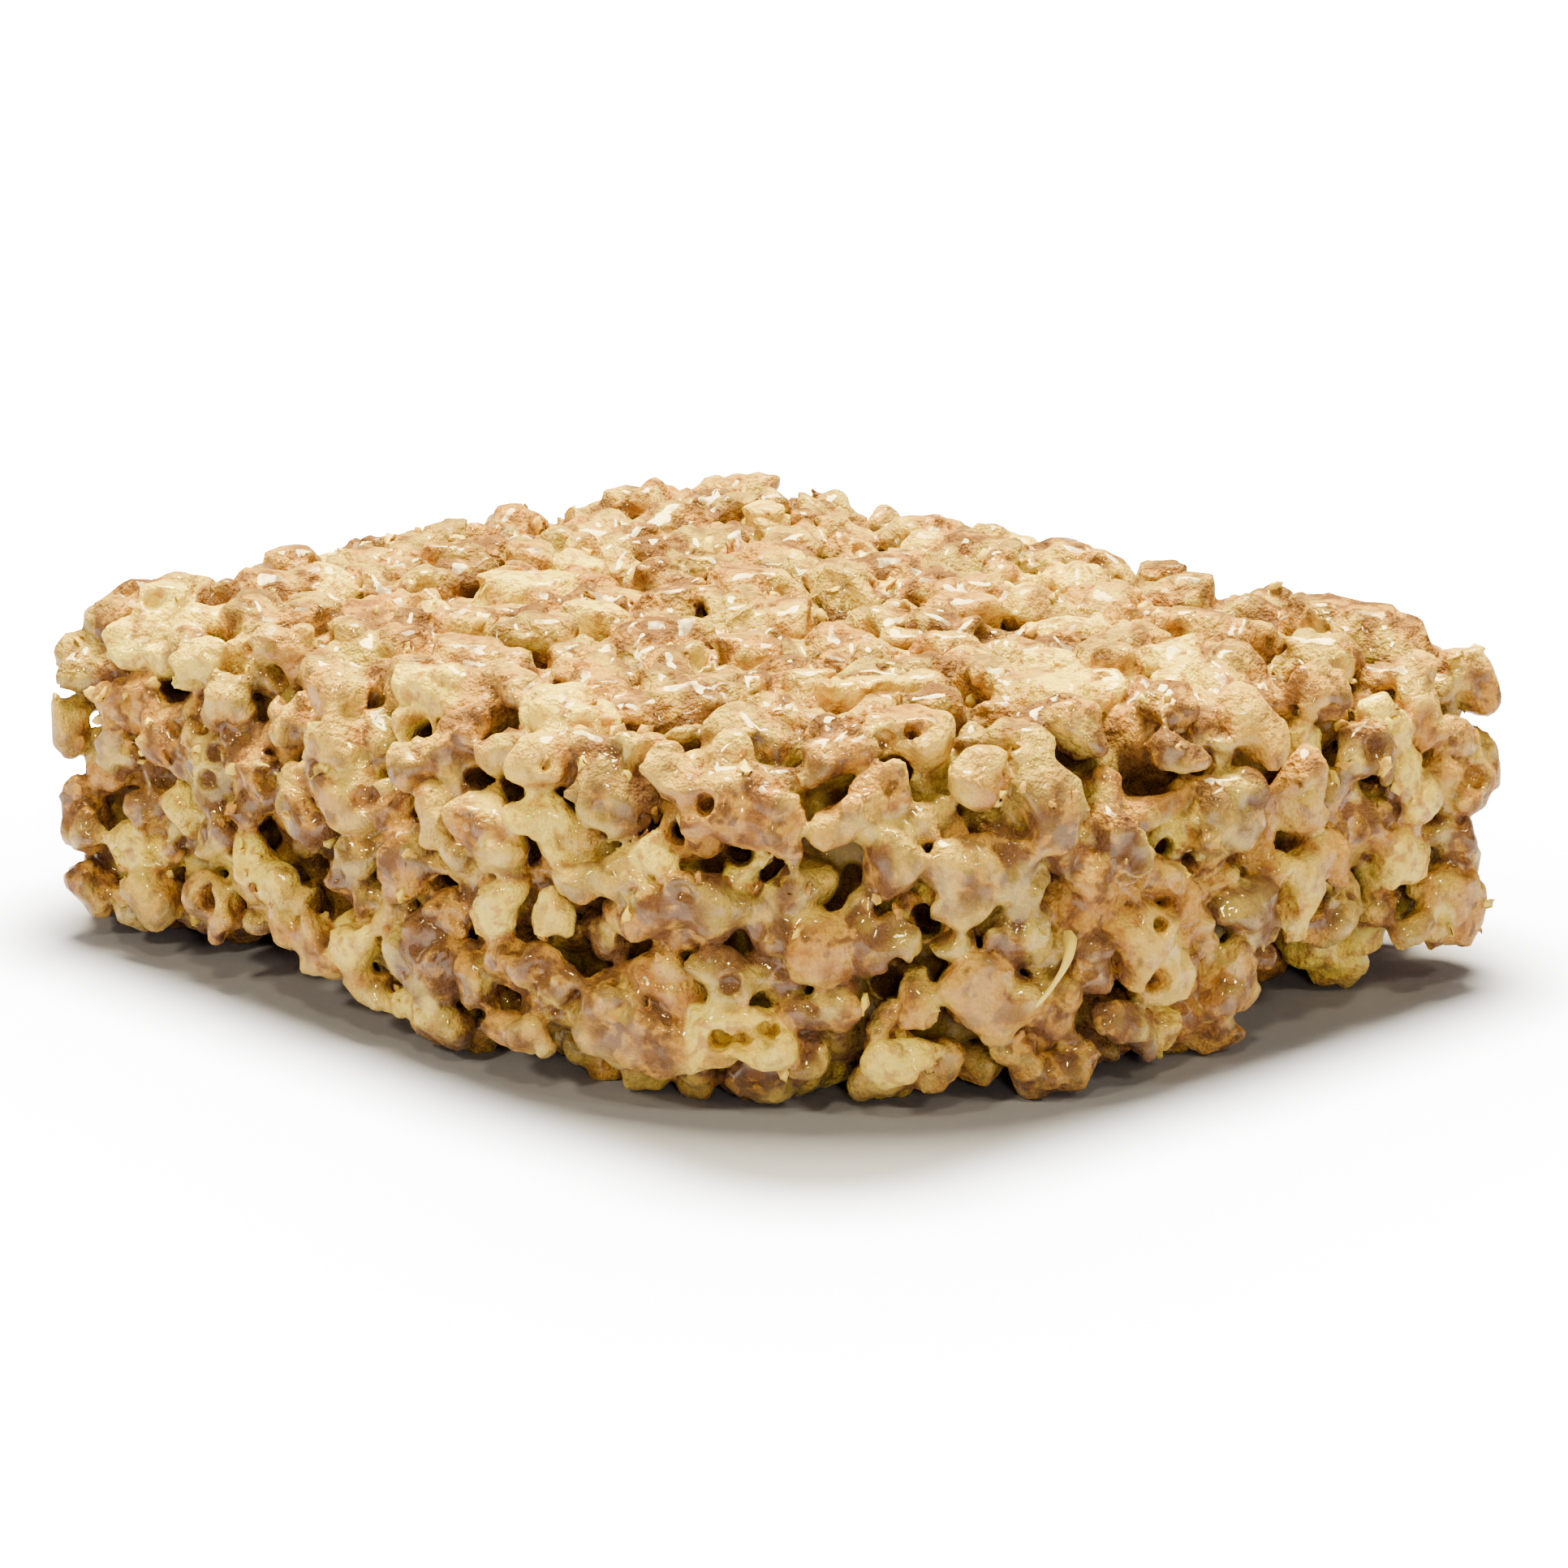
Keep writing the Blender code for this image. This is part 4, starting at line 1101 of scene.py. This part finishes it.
def puff_caps(low_tone, high_tone):
    """The field of the puffs of one range of tone, where they show through the binder."""
    field = bar_field()
    thick = field.bare - BARE_FILM
    under = -(field.glazed + CAP_DEPTH)
    toned = np.maximum(low_tone - field.tone, field.tone - high_tone) * TONE_SLOPE * MM
    return np.maximum.reduce([field.glazed, thick, under, toned])


class RICEBAR_OT_puffs(bpy.types.Operator):
    """Make the plain, toasted and cocoa puffs where they show through the marshmallow"""

    bl_idname = "ricebar.puffs"
    bl_label = "Puffs"

    def execute(self, context):
        for kind, low, high, faces, bump, coat, slot in PUFF_KINDS:
            caps = puff_caps(low, high)
            material = rice_material(kind + " puffs", bump * MM, coat, 0.15)
            for quarter, (_, _, _, share) in QUARTERS.items():
                piece = mesh_from(f"{kind}_puffs_{quarter}", caps, quarter, int(faces * share))
                mark_surface(piece)
                finish_piece(piece, material)
        return {"FINISHED"}


def geometry_tree(name, inputs):
    """A geometry tree with named inputs, and its wires."""
    tree = bpy.data.node_groups.new(name, "GeometryNodeTree")
    socket(tree, "Geometry", "NodeSocketGeometry", "INPUT")
    for label, kind, default in inputs:
        socket(tree, label, kind, "INPUT", default)
    socket(tree, "Geometry", "NodeSocketGeometry", "OUTPUT")
    return tree, Wires(tree)


def close_tree(w, geometry, material):
    """Ends a geometry tree: real meshes with their material."""
    real = w.add("GeometryNodeRealizeInstances", {"Geometry": geometry})
    done = w.add("GeometryNodeSetMaterial", {"Geometry": real.outputs["Geometry"], "Material": material})
    w.add("NodeGroupOutput", {"Geometry": done.outputs["Geometry"]})


def grown(piece, tree, values):
    """Runs a geometry tree on a piece and keeps what it makes as the piece's plain mesh."""
    growth = piece.modifiers.new(tree.name, "NODES")
    growth.node_group = tree
    for item in tree.interface.items_tree:
        if item.in_out == "INPUT" and item.name in values:
            growth[item.identifier] = values[item.name]
    as_plain_mesh(piece)


def crumb_tree():
    """Ragged crumbs strewn over a surface, each with a shape and a tone of its own."""
    tree, w = geometry_tree(
        "crumbs",
        (
            ("Crumb size", "NodeSocketFloat", 0.5 * MM),
            ("Crumbs per square metre", "NodeSocketFloat", 100000.0),
            ("Lowest skin", "NodeSocketFloat", 1.2),
            ("Middle height", "NodeSocketFloat", 12.6 * MM),
            ("Height reach", "NodeSocketFloat", 11.0 * MM),
            ("Patch size", "NodeSocketFloat", 150.0),
            ("Patch level", "NodeSocketFloat", 0.56),
            ("Seed", "NodeSocketInt", 3),
            ("Material", "NodeSocketMaterial", None),
        ),
    )
    into = w.add("NodeGroupInput").outputs
    patches = w.add("ShaderNodeTexNoise", {"Scale": into["Patch size"], "Detail": 1.0}).outputs["Fac"]
    patches = w.math("MULTIPLY", w.math("SUBTRACT", patches, into["Patch level"]), 40.0)
    patchy = w.math("SUBTRACT", w.stored("depth"), patches)
    position = w.add("GeometryNodeInputPosition").outputs["Position"]
    height = w.add("ShaderNodeSeparateXYZ", {"Vector": position}).outputs["Z"]
    from_middle = w.math("ABSOLUTE", w.math("SUBTRACT", height, into["Middle height"]))
    barred = w.math("MULTIPLY", w.math("GREATER_THAN", from_middle, into["Height reach"]), 99.0)
    patchy = w.math("ADD", patchy, barred)
    skin = w.add(
        "FunctionNodeCompare",
        {"A": patchy, "B": into["Lowest skin"]},
        data_type="FLOAT",
        operation="LESS_THAN",
    )
    strewn = w.add(
        "GeometryNodeDistributePointsOnFaces",
        {
            "Mesh": into["Geometry"],
            "Selection": skin.outputs["Result"],
            "Density": into["Crumbs per square metre"],
            "Seed": into["Seed"],
        },
    )
    lump = w.add("GeometryNodeMeshUVSphere", {"Radius": into["Crumb size"], "Segments": 7, "Rings": 5})
    turns = w.random_vector((0, 0, 0), (6.28, 6.28, 6.28))
    turn = w.add("FunctionNodeEulerToRotation", {"Euler": turns})
    laid = w.add(
        "GeometryNodeInstanceOnPoints",
        {
            "Points": strewn.outputs["Points"],
            "Instance": lump.outputs["Mesh"],
            "Rotation": turn.outputs["Rotation"],
            "Scale": w.random_vector((0.5, 0.4, 0.3), (1.7, 1.1, 0.8)),
        },
    )
    tones = w.add("FunctionNodeRandomValue", {2: 0.0, 3: 0.5}, data_type="FLOAT")
    toned = w.add(
        "GeometryNodeStoreNamedAttribute",
        {"Geometry": laid.outputs["Instances"], "Name": "tone", "Value": tones.outputs[1]},
        data_type="FLOAT",
        domain="INSTANCE",
    )
    real = w.add("GeometryNodeRealizeInstances", {"Geometry": toned.outputs["Geometry"]})
    waves = w.add("ShaderNodeTexNoise", {"Scale": 1900.0, "Detail": 1.0})
    push = w.vector("SUBTRACT", waves.outputs["Color"], (0.5, 0.5, 0.5))
    push = w.add("ShaderNodeVectorMath", {0: push, "Scale": 1.5 * MM}, operation="SCALE").outputs["Vector"]
    ragged = w.add("GeometryNodeSetPosition", {"Geometry": real.outputs["Geometry"], "Offset": push})
    close_tree(w, ragged.outputs["Geometry"], into["Material"])
    return tree


def string_tree():
    """Round strings along lines, each as thick as its line says at every point."""
    tree, w = geometry_tree(
        "strings",
        (("Sides", "NodeSocketInt", STRING_SIDES), ("Material", "NodeSocketMaterial", None)),
    )
    into = w.add("NodeGroupInput").outputs
    line = w.add("GeometryNodeMeshToCurve", {"Mesh": into["Geometry"]})
    ring = w.add("GeometryNodeCurvePrimitiveCircle", {"Resolution": into["Sides"], "Radius": 1.0})
    drawn = w.add(
        "GeometryNodeCurveToMesh",
        {
            "Curve": line.outputs["Curve"],
            "Profile Curve": ring.outputs["Curve"],
            "Scale": w.stored("thick"),
            "Fill Caps": True,
        },
    )
    close_tree(w, drawn.outputs["Mesh"], into["Material"])
    return tree


def sunk(point):
    """A point moved straight into the bar until the marshmallow covers it."""
    field = bar_field()
    for _ in range(40):
        if field.sample(field.glazed, point[None])[0] < -0.6 * MM:
            break
        point = point - 0.1 * MM * outward(point[None])[0]
    return point


def long_string_place():
    """The ends of the placed string, and the bow that lifts its middle clear of the puffs."""
    field = bar_field()
    start, end = (sunk(np.array(end) * MM) for end in LONG_STRING)
    middle = start + (end - start) * np.linspace(0.3, 0.7, 5)[:, None]
    way_out = outward(middle).mean(axis=0)
    lift = 0.0
    while field.sample(field.glazed, middle + lift * way_out).min() < 0.2 * MM and lift < 3 * MM:
        lift += 0.1 * MM
    return start, end, lift * way_out


def string_places():
    """The ends of each string on either side of a gap, and how its middle bows from the straight."""
    field = bar_field()
    bar = settings().bar_sizes
    rng = np.random.default_rng(settings().puff_sizes.seed + 2)
    half = np.array([bar.length, bar.width, bar.height]) / 2
    starts = rng.uniform(-half, half, (40000, 3)) + (0, 0, bar.height / 2)
    depth = -distance_at(starts)
    starts = starts[(depth > 0.3 * MM) & (depth < 1.8 * MM)]
    ways = np.cross(outward(starts), rng.normal(size=starts.shape))
    ways /= np.linalg.norm(ways, axis=1, keepdims=True)
    ends = starts + ways * rng.uniform(*STRING_SPANS, len(starts))[:, None]
    along = [field.sample(field.glazed, starts + (ends - starts) * t) for t in np.linspace(0, 1, 9)]
    open_air = np.min(along[2:7], axis=0) > 0.12 * MM
    held = np.maximum(along[0], along[8]) < -0.3 * MM
    found = [long_string_place()]
    for start, end in zip(starts[open_air & held], ends[open_air & held]):
        if len(found) > settings().binder_sizes.strings:
            break
        if min(np.linalg.norm(start - other) for other, _, _ in found) > STRING_APART:
            found.append((start, end, np.array([0, 0, -0.06 * np.linalg.norm(end - start)])))
    return found


class RICEBAR_OT_strings(bpy.types.Operator):
    """Draw the marshmallow strings across gaps between puffs"""

    bl_idname = "ricebar.strings"
    bl_label = "Strings"

    def execute(self, context):
        rng = np.random.default_rng(4)
        points, edges, thick = [], [], []
        for number, (start, end, bow) in enumerate(string_places()):
            middle, flare = LONG_STRING_MIDDLE, LONG_STRING_FLARE
            if number > 0:
                middle, flare = rng.uniform(*STRING_MIDDLES) * MM, STRING_FLARE
            first = len(points)
            for t in np.linspace(0, 1, STRING_POINTS):
                points.append(start + (end - start) * t + bow * (1 - abs(2 * t - 1) ** 3))
                thick.append(middle + flare * (1 - t) ** 4 + 0.4 * flare * t**6)
            edges += [(first + step, first + step + 1) for step in range(STRING_POINTS - 1)]
        mesh = bpy.data.meshes.new("marshmallow_strings")
        mesh.from_pydata(points, edges, [])
        mark(mesh, "thick", thick)
        piece = linked(mesh.name, mesh)
        material = rice_material("marshmallow strings", 0.1 * MM, 0.9, 0.3)
        grown(piece, string_tree(), {"Sides": STRING_SIDES, "Material": material})
        mark(piece.data, "film", np.ones(len(piece.data.vertices)))
        finish_piece(piece, material)
        return {"FINISHED"}


class RICEBAR_OT_crumbs(bpy.types.Operator):
    """Strew ragged crumbs over the skin of the bar"""

    bl_idname = "ricebar.crumbs"
    bl_label = "Crumbs"

    def execute(self, context):
        puff = settings().puff_sizes
        material = rice_material("rice crumbs", 0.10 * MM, 0.1, 0.1)
        tree = crumb_tree()
        values = {"Crumb size": puff.crumb, "Crumbs per square metre": puff.crumbs, "Material": material}
        for number, quarter in enumerate(QUARTERS):
            piece = linked("crumbs_" + quarter, bpy.data.objects["marshmallow_" + quarter].data.copy())
            grown(piece, tree, {**values, "Seed": puff.seed + number})
            finish_piece(piece, material)
        return {"FINISHED"}


class RICEBAR_OT_stage(bpy.types.Operator):
    """Set the pale floor, the studio lights and the camera"""

    bl_idname = "ricebar.stage"
    bl_label = "Stage"

    def execute(self, context):
        place_floor()
        place_lights()
        place_camera()
        return {"FINISHED"}


def place_floor():
    """A white sweep that looks white to the camera and throws bluish light back at the bar. To the camera it
    also has a painted shadow round the bar's foot and a painted glow farther out.
    """
    bpy.ops.mesh.primitive_plane_add(size=8)
    floor = bpy.context.object
    floor.name = "studio_floor"
    material = bpy.data.materials.new("white sweep")
    material.use_nodes = True
    w = Wires(material.node_tree)
    shader = material.node_tree.nodes["Principled BSDF"]
    place = w.add("ShaderNodeTexCoord").outputs["Object"]
    grain = w.noise(place, 14.0, 3.0)
    seen = w.add("ShaderNodeLightPath").outputs["Is Camera Ray"]
    past_foot = w.vector("MAXIMUM", w.vector("SUBTRACT", w.vector("ABSOLUTE", place), FOOT_HALF))
    clear = w.add("ShaderNodeVectorMath", {0: past_foot}, operation="LENGTH").outputs["Value"]
    # Painted shadow: to the camera the floor darkens towards the bar's foot.
    bright = w.mix(w.ramp(clear, *FOOT_FADE, FOOT_SHADE, 0.0), w.mix(grain, *FLOOR_SEEN), PAINTED_FOOT_SHADOW)
    tint = w.mix(seen, w.mix(grain, *FLOOR_BOUNCE), bright)
    material.node_tree.links.new(tint, shader.inputs["Base Color"])
    # Painted glow: to the camera the floor shines more the farther it lies from the bar, so its real shadow
    # fades to white.
    glow = w.math("MULTIPLY", seen, w.ramp(clear, *GLOW_FADE, 0.0, GLOW))
    material.node_tree.links.new(glow, shader.inputs["Emission Strength"])
    shader.inputs["Emission Color"].default_value = (1.0, 1.0, 1.0, 1)
    shader.inputs["Roughness"].default_value = 0.85
    shader.inputs["Specular IOR Level"].default_value = 0.1
    floor.data.materials.append(material)


def place_lights():
    world = bpy.data.worlds.new("studio")
    bpy.context.scene.world = world
    world.use_nodes = True
    background = world.node_tree.nodes["Background"]
    background.inputs["Color"].default_value = SKY_COLOUR
    background.inputs["Strength"].default_value = SKY_STRENGTH
    for name, place, size, power in LAMPS:
        light = bpy.data.lights.new(name, "AREA")
        light.shape = "DISK"
        light.size = size
        light.energy = power
        light.color = LAMP_COLOUR
        lamp = linked(name, light)
        lamp.location = place
        lamp.rotation_euler = (BAR_MIDDLE - Vector(place)).to_track_quat("-Z", "Y").to_euler()


def place_camera():
    stage = settings().stage_sizes
    turn, rise = stage.azimuth, stage.elevation
    back = Vector((math.sin(turn) * math.cos(rise), -math.cos(turn) * math.cos(rise), math.sin(rise)))
    camera = linked("camera", bpy.data.cameras.new("camera"))
    camera.data.lens = stage.lens
    camera.data.sensor_width = 36
    camera.data.shift_x, camera.data.shift_y = CAMERA_SHIFT
    camera.data.clip_start = 0.01
    camera.location = BAR_MIDDLE + back * stage.distance
    camera.rotation_euler = (-back).to_track_quat("-Z", "Y").to_euler()
    bpy.context.scene.camera = camera


class RICEBAR_PT_panel(bpy.types.Panel):
    bl_idname = "RICEBAR_PT_panel"
    bl_label = "Crisped Rice Bar"
    bl_space_type = "VIEW_3D"
    bl_region_type = "UI"
    bl_category = "Rice Bar"

    def draw(self, context):
        layout = self.layout
        for name, title, _ in GROUPS:
            box = layout.box()
            box.label(text=title)
            group = getattr(context.scene, name)
            for field in group.bl_rna.properties.keys():
                if field not in ("rna_type", "name"):
                    box.prop(group, field)
        for operator in OPERATORS:
            layout.operator(operator.bl_idname)


GROUPS = (
    ("bar_sizes", "Bar", BarSizes),
    ("puff_sizes", "Puffs", PuffSizes),
    ("binder_sizes", "Binder", BinderSizes),
    ("rice_colours", "Colours", RiceColours),
    ("stage_sizes", "Stage", StageSizes),
)
OPERATORS = (
    RICEBAR_OT_marshmallow,
    RICEBAR_OT_puffs,
    RICEBAR_OT_strings,
    RICEBAR_OT_crumbs,
    RICEBAR_OT_stage,
)


def register():
    for name, _, group in GROUPS:
        bpy.utils.register_class(group)
        setattr(bpy.types.Scene, name, PointerProperty(type=group))
    for item in (*OPERATORS, RICEBAR_PT_panel):
        bpy.utils.register_class(item)


def unregister():
    for item in (RICEBAR_PT_panel, *reversed(OPERATORS)):
        bpy.utils.unregister_class(item)
    for name, _, group in reversed(GROUPS):
        delattr(bpy.types.Scene, name)
        bpy.utils.unregister_class(group)


def main():
    register()
    bpy.ops.ricebar.marshmallow()
    bpy.ops.ricebar.puffs()
    bpy.ops.ricebar.strings()
    bpy.ops.ricebar.crumbs()
    bpy.ops.ricebar.stage()


if __name__ == "__main__":
    main()
